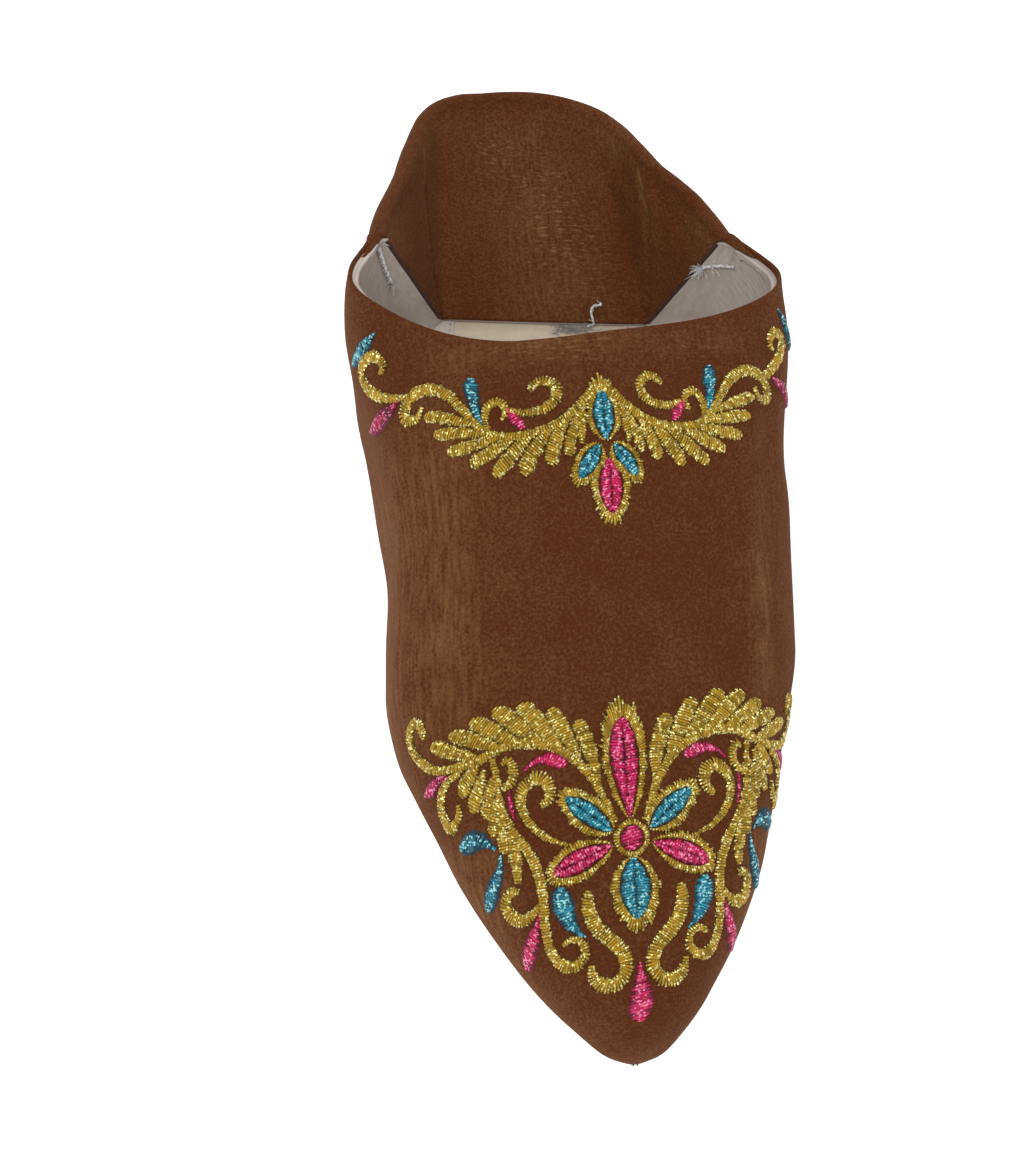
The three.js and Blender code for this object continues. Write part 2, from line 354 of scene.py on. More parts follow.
class VampSheet:
    """The vamp's skin, read from a fine table of places and outward directions."""

    left_swell = (
        (62, 67, 72, 78, 85, 93, 107, 126, 146, 158, 169, 178, 188, 197, 207, 220, 240, 253, 259, 262),
        (0, 1.2, 2.5, 3.1, 2.5, 0.7, 0, 0.9, -1, -0.4, 0, 0.6, 0.9, 0.1, -0.3, 0.2, -0.2, -0.1, 0.4, 0),
    )
    right_swell = (
        (62, 67, 72, 78, 87, 98, 111, 133, 150, 163, 176, 184, 195, 202, 212, 223, 239, 246, 252, 260, 262),
        (0, 1, 2, 2.8, 2, 1.6, 1.3, 1.1, 0.4, 0.3, -0.1, -0.5, -0.7, -0.5, -0.2, 0.3, 0, -0.2, 0.2, 0.6, 0),
    )
    first_station: float = 56.0
    tip_crowding: float = 1.7

    def __init__(self, last: Last, rows: int = 460, columns: int = 281) -> None:
        """Fills the table.

        Args:
            last: The slipper's shape.
            rows: Table rows from heel to toe, closer together near the tip.
            columns: Table columns over the whole girth.
        """
        self.last = last
        way = 1 - (1 - np.linspace(0, 1, rows)) ** self.tip_crowding
        self.stations = self.first_station + (last.sole_length - self.first_station) * way
        self.shares = np.linspace(-1, 1, columns)
        across, height, run = last.half_curve(self.stations)
        self.girth = run[:, -1]
        goal = np.abs(self.shares)[None, :] * self.girth[:, None]
        x = np.stack([np.interp(g, r, a) for g, r, a in zip(goal, run, across)])
        z = np.stack([np.interp(g, r, h) for g, r, h in zip(goal, run, height)])
        base = last.feather_level + last.rise(self.stations)
        self.places = np.stack(
            [
                last.swing(self.stations)[:, None] + np.sign(self.shares) * x,
                (last.sole_length / 2 - self.stations)[:, None] + 0 * x,
                base[:, None] + z,
            ],
            -1,
        )
        self.outward = self.directions(self.places)
        spread = self.shares[None, :] * self.girth[:, None]
        lift = self.relief(spread, self.stations[:, None] + 0 * spread, self.shares[None, :] + 0 * spread)
        self.places = self.places + self.outward * lift[..., None]
        self.outward = self.directions(self.places)

    @staticmethod
    def directions(places: Array) -> Array:
        """Outward direction at each table place; the tip, where they vanish, looks ahead.

        Args:
            places: The table's places.

        Returns:
            Directions of length one.
        """
        outward = normals(places)
        ahead = unit(places[-1].mean(0) - places[-12].mean(0))
        return np.where(np.linalg.norm(outward, axis=-1, keepdims=True) < 0.5, ahead, outward)

    @classmethod
    def relief(cls, across: Array, station: Array, share: Array) -> Array:
        """Soft troughs, ridges and swellings of the suede, in millimetres along the outward direction.

        Args:
            across: Over the skin from the middle.
            station: From the back of the heel.
            share: Share of the half girth.

        Returns:
            Height over the plain last.
        """
        left, right = (monotone(*table, station) for table in (cls.left_swell, cls.right_swell))
        foot = 0.13 + 0.27 * smooth((108 - station) / 12)
        wall = smooth((np.abs(share) - 0.28) / 0.3) * smooth((1 - np.abs(share)) / foot)
        swell = np.where(share < 0, left, right) * wall + 0.5 * smooth((station - 256) / 5)
        side = np.abs(across)
        rear = smooth((station - 96) / 12) * smooth((196 - station) / 40)
        ridge = 0.5 * bump_at(side, 36, 5) - 0.45 * bump_at(side, 45, 6)
        waves = 0.16 * np.sin(across * 0.55 + 2.1 * np.sin(station * 0.05)) * bump_at(side, 40, 12)
        throat = 0.22 * np.sin(across * 0.42 + 0.6) * bump_at(station, 106, 5)
        return rear * (ridge + waves) + throat * smooth((30 - side) / 8) + swell

    def read(self, share: Array, station: Array) -> tuple:
        """Places and outward directions, between four table entries each.

        Args:
            share: Share of the half girth, negative on the left.
            station: From the back of the heel.

        Returns:
            Places and outward directions.
        """
        row = np.interp(station, self.stations, np.arange(len(self.stations)))
        column = (np.clip(share, -1, 1) + 1) / 2 * (len(self.shares) - 1)
        i = np.clip(row.astype(int), 0, len(self.stations) - 2)
        j = np.clip(column.astype(int), 0, len(self.shares) - 2)
        a, b = (row - i)[..., None], (column - j)[..., None]

        def blend(table: Array) -> Array:
            """Weighted mean of four entries.

            Args:
                table: The table.

            Returns:
                The means.
            """
            near = table[i, j] * (1 - b) + table[i, j + 1] * b
            far = table[i + 1, j] * (1 - b) + table[i + 1, j + 1] * b
            return near * (1 - a) + far * a

        return blend(self.places), unit(blend(self.outward))

    def at(self, across: Array, station: Array) -> tuple:
        """As read, with a distance over the skin in place of a share."""
        girth = np.interp(station, self.stations, self.girth)
        return self.read(across / np.maximum(girth, 1e-6), station)


class HeelSheet:
    """The heel piece's suede side: up the wall, over the fold and down the flap."""

    rim = (
        (-1, -0.85, -0.7, -0.6, -0.5, -0.42, -0.34, -0.26, -0.18)
        + (-0.08, 0, 0.3, 0.42, 0.52, 0.6, 0.7, 0.8, 1),
        (0, -0.5, -1.6, -2.1, -1.6, -0.4, 1.2, 1.9, 1.3)
        + (-0.2, -0.4, 0.1, -0.9, -2.3, -2.7, -0.8, 0.4, 0.4),
    )
    heel_lean: float = 0.03
    heel_back_share: float = 0.2
    edge_skew: float = 2.2
    edge_offset: float = 1.45
    fold_slant: tuple = (38.0, 76.0)
    longest_handle: float = 5.0

    def __init__(self, last: Last) -> None:
        """Keeps the last and finds both ends of the fold."""
        self.last = last
        self.ears, _ = self.shell(np.array([-1.0, 1.0]), np.ones(2), np.ones(2))

    def base(self, turn: Array) -> tuple:
        """Foot of the wall: turn runs from -1 at the left seam over 0 at the back to +1.

        Args:
            turn: Places round the heel.

        Returns:
            Station, outward direction and distance across.
        """
        last = self.last
        side = np.where(turn < 0, -1.0, 1.0)
        run = np.abs(turn)
        angle = np.pi / 2 * np.minimum(1, run / last.arc_share)
        straight = np.clip((run - last.arc_share) / (1 - last.arc_share), 0, 1)
        length = last.seam_at(side) - last.gap - last.seat_length
        station = last.seat_length * (1 - np.cos(angle)) + straight * length
        outward = np.stack(
            [side * np.sin(angle) / last.seat_width, np.cos(angle) / (2 * last.seat_length), 0 * turn], -1
        )
        return station, unit(outward), side * last.seat_width * np.sin(angle) / 2

    def reach(self, turn: Array, height: Array) -> Array:
        """How far the wall stands out of the sole's outline.

        Args:
            turn: Places round the heel.
            height: Heights over the feather edge.

        Returns:
            Distances.
        """
        last = self.last
        at_seam = []
        for side in (-1.0, 1.0):
            section = {k: v[0] for k, v in last.section(np.array([last.seam_at(side)])).items()}
            at_seam.append(last.half_width_at(section, height) - section["feather"])
        at_seam = np.where(turn < 0, at_seam[0], at_seam[1])
        low = np.minimum(1, height / last.widest_rise)
        lean = self.heel_lean * np.maximum(0, height - last.widest_rise)
        at_back = last.heel_bulge * (1 - (1 - low) ** 2) - lean
        share = (np.abs(turn) - self.heel_back_share) / (1 - self.heel_back_share)
        return at_back + (at_seam - at_back) * smooth(share)

    def fold_top(self, turn: Array, station: Array) -> Array:
        """Top of the fold, falling from the ears to the back.

        Args:
            turn: Places round the heel.
            station: Their stations.

        Returns:
            Heights.
        """
        last = self.last
        side = np.where(turn < 0, -1.0, 1.0)
        share = np.clip(station / (last.seam_at(side) - last.gap), 0, 1)
        return last.heel_height + (last.ear_at(side) - last.heel_height) * share

    def shell(self, turn: Array, wall: Array, fold: Array) -> tuple:
        """Places on the wall and the fold.

        Args:
            turn: Places round the heel.
            wall: Share of the wall's height.
            fold: Share of the fold's arc.

        Returns:
            Places, and the direction in which the flap leaves the fold.
        """
        last = self.last
        station, outward, across = self.base(turn)
        top = self.fold_top(turn, station) - last.fold_radius
        height = last.feather_level + (top - last.feather_level) * wall
        steep, flat = (math.radians(angle) for angle in self.fold_slant)
        descent = steep + (flat - steep) * smooth(np.abs(turn))
        angle = fold * (np.pi / 2 + descent)
        moved = monotone(*self.rim, turn) * smooth(wall)
        out = self.reach(turn, height - last.feather_level) + moved + last.fold_radius * (np.cos(angle) - 1)
        lifted = height + last.fold_radius * np.sin(angle)
        place = np.stack([across, last.sole_length / 2 - station, lifted], -1)
        level = np.array([0.0, 0.0, 1.0])
        down = -outward * np.cos(descent)[..., None] - level * np.sin(descent)[..., None]
        return place + outward * out[..., None], down

    def flap_edge(self, turn: Array) -> Array:
        """Free edge of the flap: straight over the insole, then straight up to the fold's ends.

        Args:
            turn: Places round the heel.

        Returns:
            Places.
        """
        last = self.last
        side = np.where(turn < 0, -1.0, 1.0)
        run = np.abs(turn)
        half = last.flap_half_width + side * self.edge_offset
        part = np.minimum(1, run / last.crease_share)
        station = last.flap_station + side * self.edge_skew * part
        rest = last.insole_top + last.gap + last.wall + 0 * run
        low = np.stack([side * half * part, last.sole_length / 2 - station, rest], -1)
        climb = np.clip((run - last.crease_share) / (1 - last.crease_share), 0, 1)
        return low + (self.ears[(turn > 0).astype(int)] - low) * climb[..., None]

    def skin(self, turn: Array, wall: Array, fold: Array, flap: Array) -> Array:
        """Places on the sheet: each of the three stretches runs from 0 to 1, one after another.

        Args:
            turn: Places round the heel.
            wall: Share of the wall's height.
            fold: Share of the fold's arc.
            flap: Share of the flap's length.

        Returns:
            Places.
        """
        place, down = self.shell(turn, wall, fold)
        edge = self.flap_edge(turn)
        span = np.linalg.norm(edge - place, axis=-1)
        first = place + down * np.minimum(self.longest_handle, span / 3)[..., None]
        second = edge - (edge - place) / 3
        t = flap[..., None]
        curve = place * (1 - t) ** 3 + 3 * first * t * (1 - t) ** 2
        curve = curve + 3 * second * t * t * (1 - t) + edge * t**3
        return np.where(t > 0, curve, place)


# ---- meshes


@dataclass
class Frame:
    """Where the maker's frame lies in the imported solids' frame, in millimetres."""

    shift: Array = field(default_factory=lambda: np.zeros(3))
    outline_stations: int = 45

    def settle(self, last: Last) -> None:
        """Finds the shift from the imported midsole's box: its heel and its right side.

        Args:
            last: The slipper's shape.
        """
        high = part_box("midsole")[1]
        stations = last.sole_length * (1 - np.cos(np.linspace(0, np.pi, self.outline_stations))) / 2
        widest = float(np.max(last.swing(stations) + last.sole_half_width(stations)))
        self.shift = np.array([high.x / MM - widest, high.y / MM - last.sole_length / 2, 0.0])


FRAME = Frame()


def grid_faces(rows: int, columns: int, wrap: bool = False) -> Array:
    """Four-sided faces of a grid of points, row by row.

    Args:
        rows: Points down the grid.
        columns: Points across the grid.
        wrap: True where the last column joins the first.

    Returns:
        Indices, four for each face.
    """
    i, j = np.meshgrid(np.arange(rows - 1), np.arange(columns if wrap else columns - 1), indexing="ij")
    k = (j + 1) % columns
    row, below = i * columns, (i + 1) * columns
    return np.stack([row + j, row + k, below + k, below + j], -1).reshape(-1, 4)


def along_path(places: Array, axis: int = 0) -> Array:
    """Distance run from the first place of a path, or along one axis of a grid."""
    steps = np.linalg.norm(np.diff(places, axis=axis), axis=-1)
    return np.insert(np.cumsum(steps, axis), 0, 0.0, axis=axis)


def normals(places: Array) -> Array:
    """Direction square to a grid at each place: its rows' step crossed with its columns'."""
    return unit(np.cross(np.gradient(places, axis=0), np.gradient(places, axis=1)))


def flat_uv(across: Array, along: Array) -> Array:
    """UV in metres of two lengths in millimetres."""
    return np.stack(np.broadcast_arrays(across, along), -1) * MM


def add_mesh(
    name: str,
    places: Array,
    faces: Array,
    uv: Array | None = None,
    marks: dict | None = None,
    merge: float = 0.0,
) -> bpy.types.Object:
    """Writes a mesh object at the origin.

    Args:
        name: Name of the piece.
        places: Points in millimetres in the maker's frame.
        faces: Indices, three or four for each face.
        uv: A pair for each point, in metres.
        marks: Named numbers for each point, read by the finishes.
        merge: Distance in millimetres under which points are joined.

    Returns:
        The object, linked to the scene.
    """
    mesh = bpy.data.meshes.new(name)
    mesh.from_pydata(((places + FRAME.shift) * MM).tolist(), [], faces.tolist())
    if uv is not None:
        skin = mesh.uv_layers.new(name="Skin")
        corners = np.zeros(len(mesh.loops), int)
        mesh.loops.foreach_get("vertex_index", corners)
        skin.data.foreach_set("uv", uv[corners].astype(np.float32).ravel())
    for mark, values in (marks or {}).items():
        painted = mesh.attributes.new(mark, "FLOAT", "POINT")
        painted.data.foreach_set("value", np.asarray(values, np.float32).ravel())
    if merge:
        shape = bmesh.new()
        shape.from_mesh(mesh)
        bmesh.ops.remove_doubles(shape, verts=shape.verts, dist=merge * MM)
        bmesh.ops.dissolve_degenerate(shape, edges=shape.edges, dist=merge * MM * 0.1)
        bmesh.ops.recalc_face_normals(shape, faces=shape.faces)
        shape.to_mesh(mesh)
        shape.free()
    mesh.polygons.foreach_set("use_smooth", np.ones(len(mesh.polygons), bool))
    mesh.validate()
    mesh.update()
    piece = bpy.data.objects.new(name, mesh)
    bpy.context.scene.collection.objects.link(piece)
    return piece


def edge_steps(count: int, first: float, last: float) -> Array:
    """Steps from 0 to 1 with a few close together at each end.

    Args:
        count: Regular steps.
        first: Share taken by the close steps at the start, 0 for none.
        last: Share taken by the close steps at the end, 0 for none.

    Returns:
        Rising shares, 0 and 1 included.
    """
    close = np.array([0.0, 0.06, 0.22, 0.5])
    middle = np.linspace(first, 1 - last, count)
    head = close * first if first else np.zeros(0)
    tail = 1 - close[::-1] * last if last else np.zeros(0)
    return np.concatenate([head, middle, tail])


def layer(
    name: str,
    skin: Array,
    outward: Array,
    depth: float,
    thickness: float,
    uv: Array,
    marks: dict | None = None,
) -> bpy.types.Object:
    """A leather layer under a skin, closed all round.

    Both faces are the skin moved in along the outward direction, by depth and by depth plus
    thickness; at the edges they meet half way on a half circle.

    Args:
        name: Name of the piece.
        skin: Grid of places on the outer skin.
        outward: Outward direction at each.
        depth: Distance from the skin to the layer's outer face.
        thickness: Thickness of the layer.
        uv: A pair for each grid point, in metres.
        marks: Named numbers for each grid point.

    Returns:
        The piece.
    """
    rows, columns = skin.shape[:2]
    share = quarter_arc(edge_distance(skin) / (thickness / 2))
    middle = skin - outward * (depth + thickness / 2)
    half = outward * (share * thickness / 2)[..., None]
    places = np.concatenate([(middle + half).reshape(-1, 3), (middle - half).reshape(-1, 3)])
    faces = grid_faces(rows, columns)
    faces = np.concatenate([faces, faces[:, ::-1] + rows * columns])
    twice = {mark: np.tile(np.asarray(values).ravel(), 2) for mark, values in (marks or {}).items()}
    return add_mesh(name, places, faces, np.tile(uv.reshape(-1, 2), (2, 1)), twice, CLOSE)


def edge_distance(places: Array) -> Array:
    """Distance of each grid place from the grid's nearest edge, along its rows and columns."""
    down, over = along_path(places, 0), along_path(places, 1)
    return np.minimum(np.minimum(down, down[-1:] - down), np.minimum(over, over[:, -1:] - over))


def sweep(path: Array, first: Array, second: Array, outline: Array) -> tuple:
    """Carries a closed outline along a path: place = path + a first + b second.

    Args:
        path: Places along the path.
        first: First direction of the outline's plane at each place.
        second: Second direction at each place.
        outline: Pairs (a, b) round the outline, or one set of pairs for each place.

    Returns:
        Places, faces and UV in metres.
    """
    outline = np.broadcast_to(outline, (len(path),) + outline.shape[-2:])
    places = path[:, None] + first[:, None] * outline[..., :1] + second[:, None] * outline[..., 1:]
    count = outline.shape[1]
    uv = flat_uv(SWEEP_GIRTH * np.arange(count) / count, along_path(path)[:, None])
    return places.reshape(-1, 3), grid_faces(len(path), count, wrap=True), uv.reshape(-1, 2)


def across_path(path: Array, guide: Array) -> tuple:
    """Two directions square to a path at each place, the first one nearest to a guide.

    Args:
        path: Places along the path.
        guide: A direction, or one for each place.

    Returns:
        First and second directions.
    """
    ahead = unit(np.gradient(path, axis=0))
    guide = np.broadcast_to(guide, path.shape)
    first = unit(guide - ahead * (guide * ahead).sum(-1, keepdims=True))
    return first, np.cross(ahead, first)


def cord(path: Array, radius: Array, sides: int = 8) -> tuple:
    """Round cord along a path; its radius falls to 0 at both ends, which closes it.

    Args:
        path: Places along the middle.
        radius: Radius at each place.
        sides: Sides of the section.

    Returns:
        Places, faces and UV.
    """
    first, second = across_path(path, GUIDE)
    angle = np.linspace(0, 2 * np.pi, sides, endpoint=False)
    ring = np.stack([np.cos(angle), np.sin(angle)], -1)[None] * radius[:, None, None]
    return sweep(path, first, second, ring)


def joined(parts: list) -> tuple:
    """Several meshes as one.

    Args:
        parts: Places, faces and UV of each.

    Returns:
        Places, faces and UV.
    """
    starts = np.cumsum([0] + [len(part[0]) for part in parts[:-1]])
    places = np.concatenate([part[0] for part in parts])
    faces = np.concatenate([part[1] + start for part, start in zip(parts, starts)])
    return places, faces, np.concatenate([part[2] for part in parts])


# ---- finishes


class Value:
    """A number in a finish's node tree; Python's operators add the Math nodes."""

    def __init__(self, recipe: "Recipe", socket: Socket) -> None:
        """Keeps the tree and the socket."""
        self.recipe, self.socket = recipe, socket

    def math(self, operation: str, *others: "Value | float") -> "Value":
        """Adds a Math node with this value first.

        Args:
            operation: The node's operation.
            others: Its further inputs.

        Returns:
            The node's result.
        """
        inputs = dict(enumerate((self, *others)))
        node = self.recipe.node("ShaderNodeMath", {"operation": operation}, inputs)
        return Value(self.recipe, node.outputs[0])

    def flipped(self, operation: str, other: float) -> "Value":
        """Adds a Math node with this value second."""
        node = self.recipe.node("ShaderNodeMath", {"operation": operation}, {0: other, 1: self})
        return Value(self.recipe, node.outputs[0])

    def __add__(self, other: "Value | float") -> "Value":
        """Sum."""
        return self.math("ADD", other)

    __radd__ = __add__

    def __sub__(self, other: "Value | float") -> "Value":
        """Difference."""
        return self.math("SUBTRACT", other)

    def __rsub__(self, other: float) -> "Value":
        """Difference from a number."""
        return self.flipped("SUBTRACT", other)

    def __mul__(self, other: "Value | float") -> "Value":
        """Product."""
        return self.math("MULTIPLY", other)

    __rmul__ = __mul__

    def __truediv__(self, other: "Value | float") -> "Value":
        """Quotient."""
        return self.math("DIVIDE", other)

    def __pow__(self, other: "Value | float") -> "Value":
        """Power."""
        return self.math("POWER", other)

    def clamp(self) -> "Value":
        """Held between 0 and 1."""
        return self.math("MAXIMUM", 0.0).math("MINIMUM", 1.0)

    def step(self, low: float, high: float) -> "Value":
        """Soft step.

        Args:
            low: Value at which it is 0.
            high: Value at which it is 1.

        Returns:
            The step.
        """
        inputs = {"Value": self, "From Min": low, "From Max": high}
        node = self.recipe.node("ShaderNodeMapRange", {"interpolation_type": "SMOOTHSTEP"}, inputs)
        return Value(self.recipe, node.outputs["Result"])


class Recipe:
    """The node tree of one finish."""

    def __init__(self, name: str) -> None:
        """Starts an empty tree.

        Args:
            name: The material's name.
        """
        self.material = bpy.data.materials.new(name)
        self.material.use_nodes = True
        self.tree = self.material.node_tree
        self.tree.nodes.clear()

    def node(self, kind: str, settings: dict | None = None, inputs: dict | None = None) -> bpy.types.Node:
        """Adds a node, sets its settings first and then its sockets.

        Args:
            kind: Node type.
            settings: Attributes of the node.
            inputs: Values, sockets or numbers by input name or place.

        Returns:
            The node.
        """
        made = self.tree.nodes.new(kind)
        for key, setting in (settings or {}).items():
            setattr(made, key, setting)
        for key, given in (inputs or {}).items():
            given = given.socket if isinstance(given, Value) else given
            if isinstance(given, Socket):
                self.tree.links.new(given, made.inputs[key])
            else:
                made.inputs[key].default_value = given
        return made

    def mark(self, name: str) -> Value:
        """A number painted on the mesh."""
        return Value(self, self.node("ShaderNodeAttribute", {"attribute_name": name}).outputs["Fac"])

    def coords(self, kind: str = "Object", scale: tuple = (1, 1, 1)) -> Socket:
        """Object or UV coordinates, scaled on each axis."""
        source = self.node("ShaderNodeTexCoord").outputs[kind]
        return self.node("ShaderNodeMapping", {}, {"Vector": source, "Scale": scale}).outputs[0]

    def noise(self, scale: float, detail: float = 2.0, where: Socket | None = None) -> Value:
        """Soft noise from 0 to 1.

        Args:
            scale: Features for each metre.
            detail: Octaves.
            where: Coordinates, the object's own if left out.

        Returns:
            The noise.
        """
        where = where or self.coords()
        inputs = {"Vector": where, "Scale": scale, "Detail": detail, "Roughness": 0.6}
        return Value(self, self.node("ShaderNodeTexNoise", {}, inputs).outputs["Fac"])

    def cells(self, scale: float, where: Socket) -> Value:
        """Distance from the middle of each cell of a pattern, with scale cells for each metre."""
        node = self.node("ShaderNodeTexVoronoi", {}, {"Vector": where, "Scale": scale})
        return Value(self, node.outputs["Distance"])

    def flecks(self, scale: float) -> Value:
        """A random number from 0 to 1 for each cell of a pattern.

        Args:
            scale: Cells for each metre.

        Returns:
            The number.
        """
        node = self.node("ShaderNodeTexVoronoi", {}, {"Vector": self.coords(), "Scale": scale})
        split = self.node("ShaderNodeSeparateColor", {}, {"Color": node.outputs["Color"]})
        return Value(self, split.outputs[0])

    def mix(self, share: "Value | float", first: object, second: object) -> Socket:
        """Colour between two colours.

        Args:
            share: 0 for the first, 1 for the second.
            first: A socket, or three numbers.
            second: A socket, or three numbers.

        Returns:
            The colour.
        """
        colours = [(*given, 1) if isinstance(given, tuple) else given for given in (first, second)]
        inputs = {0: share, 6: colours[0], 7: colours[1]}
        return self.node("ShaderNodeMix", {"data_type": "RGBA"}, inputs).outputs[2]

    def bump(self, height: Value, distance: float, strength: float = 1.0) -> Socket:
        """Normal of a height pattern, distance metres high."""
        inputs = {"Height": height, "Distance": distance, "Strength": strength}
        return self.node("ShaderNodeBump", {}, inputs).outputs[0]

    def close(self, linked: dict, constant: dict) -> bpy.types.Material:
        """Ends the tree in a Principled shader.

        Args:
            linked: Sockets, values or plain numbers of what changes over the surface.
            constant: Numbers and colours that are the same all over.

        Returns:
            The material.
        """
        shader = self.node("ShaderNodeBsdfPrincipled", {}, {**constant, **linked})
        self.node("ShaderNodeOutputMaterial", {}, {"Surface": shader.outputs[0]})
        return self.material


def tone(red: int, green: int, blue: int) -> tuple:
    """Scene colour of a screen colour given as three numbers to 255."""
    shares = (red / 255, green / 255, blue / 255)
    return tuple(((s + 0.055) / 1.055) ** 2.4 if s > 0.04045 else s / 12.92 for s in shares)


@dataclass(frozen=True)
class Suede:
    """Brown suede: dark where the nap lies down, lighter where it is brushed up, and lighter where painted
    sheen and painted highlights are laid on.
    """

    dark: tuple = tone(83, 41, 18)
    light: tuple = tone(134, 95, 60)
    grain_scale: float = 1500
    cloud_scale: float = 70
    streak_scale: tuple = (850, 110, 1)
    ripple_scale: tuple = (290, 1250, 1)
    relief: float = 0.0004
    name: str = "brown_suede"

    def build(self) -> bpy.types.Material:
        """Makes the material.

        Returns:
            The material.
        """
        recipe = Recipe(self.name)
        grain = recipe.noise(self.grain_scale, 3)
        cloud = recipe.noise(self.cloud_scale, 4)
        streak = recipe.noise(1.0, 4, recipe.coords("UV", self.streak_scale))
        ripple = recipe.noise(1.0, 3, recipe.coords("UV", self.ripple_scale))
        # The nap mark holds brushed nap, and also painted sheen on the vamp's side walls and painted
        # highlights along the flap's creases.
        nap, rub = recipe.mark("nap"), recipe.mark("rub")
        brushed = nap * (streak.step(0.35, 0.68) * 1.15 + 0.3)
        rubbed = rub * ripple.step(0.5, 0.72)
        mottle = (cloud - 0.5) * 0.4 + (grain - 0.5) * 1.15 + (streak - 0.5) * 0.15
        lie = (brushed + rubbed + mottle + 0.07).clamp()
        linked = {
            "Base Color": recipe.mix(lie, self.dark, self.light),
            "Roughness": 0.95 - lie * 0.12,
            "Normal": recipe.bump(grain + brushed * 0.7 + rubbed * 0.8, self.relief, 0.8),
        }
        constant = {
            "Sheen Weight": 0.16,
            "Sheen Roughness": 0.5,
            "Sheen Tint": (*tone(200, 150, 110), 1),
            "Specular IOR Level": 0.08,
        }
        return recipe.close(linked, constant)


@dataclass(frozen=True)
class Leather:
    """Smooth leather with a fine pebble, pores, a soft gloss, and a mark for worn spots and painted shade."""

    name: str
    colour: tuple
    shade: tuple
    pebble: float = 700
    relief: float = 0.00012
    gloss: float = 0.55
    streaks: tuple = (1, 1, 1)
    coat: float = 0.0
    cloud_scale: float = 60

    def build(self) -> bpy.types.Material:
        """Makes the material.

        Returns:
            The material.
        """
        recipe = Recipe(self.name)
        where = recipe.coords("UV", self.streaks)
        pebble = recipe.cells(self.pebble, where)
        fine = recipe.noise(self.pebble * 2.2, 3, where)
        cloud = recipe.noise(self.cloud_scale, 4)
        # The mark read here holds worn spots and painted shade: the lining's darker right collar edge and the
        # margins' dark needle holes are painted shade.
        wear_and_shade = recipe.mark("wear_and_shade")
        share = (cloud * 0.9 - 0.2 + (fine - 0.5) * 0.9 + (pebble - 0.4) * 0.4 + wear_and_shade).clamp()
        linked = {
            "Base Color": recipe.mix(share, self.colour, self.shade),
            "Roughness": self.gloss + (fine - 0.5) * 0.25,
            "Normal": recipe.bump(pebble + fine * 0.5, self.relief, 0.6),
        }
        constant = {"Specular IOR Level": 0.35, "Coat Weight": self.coat, "Coat Roughness": 0.35}
        return recipe.close(linked, constant)


@dataclass(frozen=True)
class Lame:
    """Metal-wrapped thread: a twisted foil with painted glints in spots along each stitch, and painted shade
    at the stitch ends.
    """

    name: str
    colour: tuple
    shade: tuple
    # colour of the painted glints
    spark: tuple
    sparks: float = 0.82
    end_sparks: float = 0.16
    metal: float = 0.5
    fleck_scale: float = 2400
    twist_scale: tuple = (2600, 5200, 1)

    def build(self) -> bpy.types.Material:
        """Makes the material.

        Returns:
            The material.
        """
        recipe = Recipe(self.name)
        place, own = recipe.mark("along"), recipe.mark("own")
        crest = (place * (1 - place) * 4).clamp()
        # Painted glints: pale spots laid into the base colour, more of them towards the stitch ends.
        fleck = recipe.flecks(self.fleck_scale) + (1 - crest) * self.end_sparks
        twist = recipe.noise(1.0, 2, recipe.coords("UV", self.twist_scale))
        glint = fleck.step(self.sparks, self.sparks + 0.1) * place.step(0, 0.06)
        # Painted shade: each stitch darker at its ends, where it dives into the cloth; own and twist add
        # random tone.
        ends = 1 - crest.step(0.1, 0.5)
        painted_shade_and_tone = (ends * 0.9 + 0.22 + (own - 0.5) * 0.8 + (twist - 0.5) * 0.8).clamp()
        base = recipe.mix(painted_shade_and_tone, self.colour, self.shade)
        linked = {
            "Base Color": recipe.mix(glint * 0.95, base, self.spark),
            "Roughness": 0.5 - glint * 0.22 + (twist - 0.5) * 0.25,
            "Metallic": glint * 0.2 + self.metal,
            "Normal": recipe.bump(twist, 0.00015, 0.8),
        }
        return recipe.close(linked, {"Specular IOR Level": 0.3})


@dataclass(frozen=True)
class Rayon:
    """Glossy embroidery thread: a painted highlight on the crest of each stitch, painted shade at its ends
    between the stitches, and painted glints.
    """

    name: str
    colour: tuple
    shade: tuple
    # colour of the painted glints
    gleam: tuple
    fleck_scale: float = 2300
    fibre_scale: tuple = (2200, 7000, 1)

    def build(self) -> bpy.types.Material:
        """Makes the material.

        Returns:
            The material.
        """
        recipe = Recipe(self.name)
        place, own = recipe.mark("along"), recipe.mark("own")
        crest = (place * (1 - place) * 4).clamp()
        fibre = recipe.noise(1.0, 2, recipe.coords("UV", self.fibre_scale))
        fleck = recipe.flecks(self.fleck_scale)
        # Painted highlight and shade: each stitch lighter on its crest and darker at its ends; own adds
        # random tone and the outer petals' painted shade.
        base = recipe.mix((crest * 1.1 - 0.12 + (own - 0.5) * 1.0).clamp(), self.shade, self.colour)
        # Painted glints: pale spots on the crests.
        glint = fleck.step(0.7, 0.86) * crest.step(0.3, 0.9)
        linked = {
            "Base Color": recipe.mix(glint * 0.9, base, self.gleam),
            "Roughness": 0.5 - glint * 0.15,
            "Normal": recipe.bump(fibre, 0.0001, 0.6),
        }
        return recipe.close(linked, {"Specular IOR Level": 0.35})


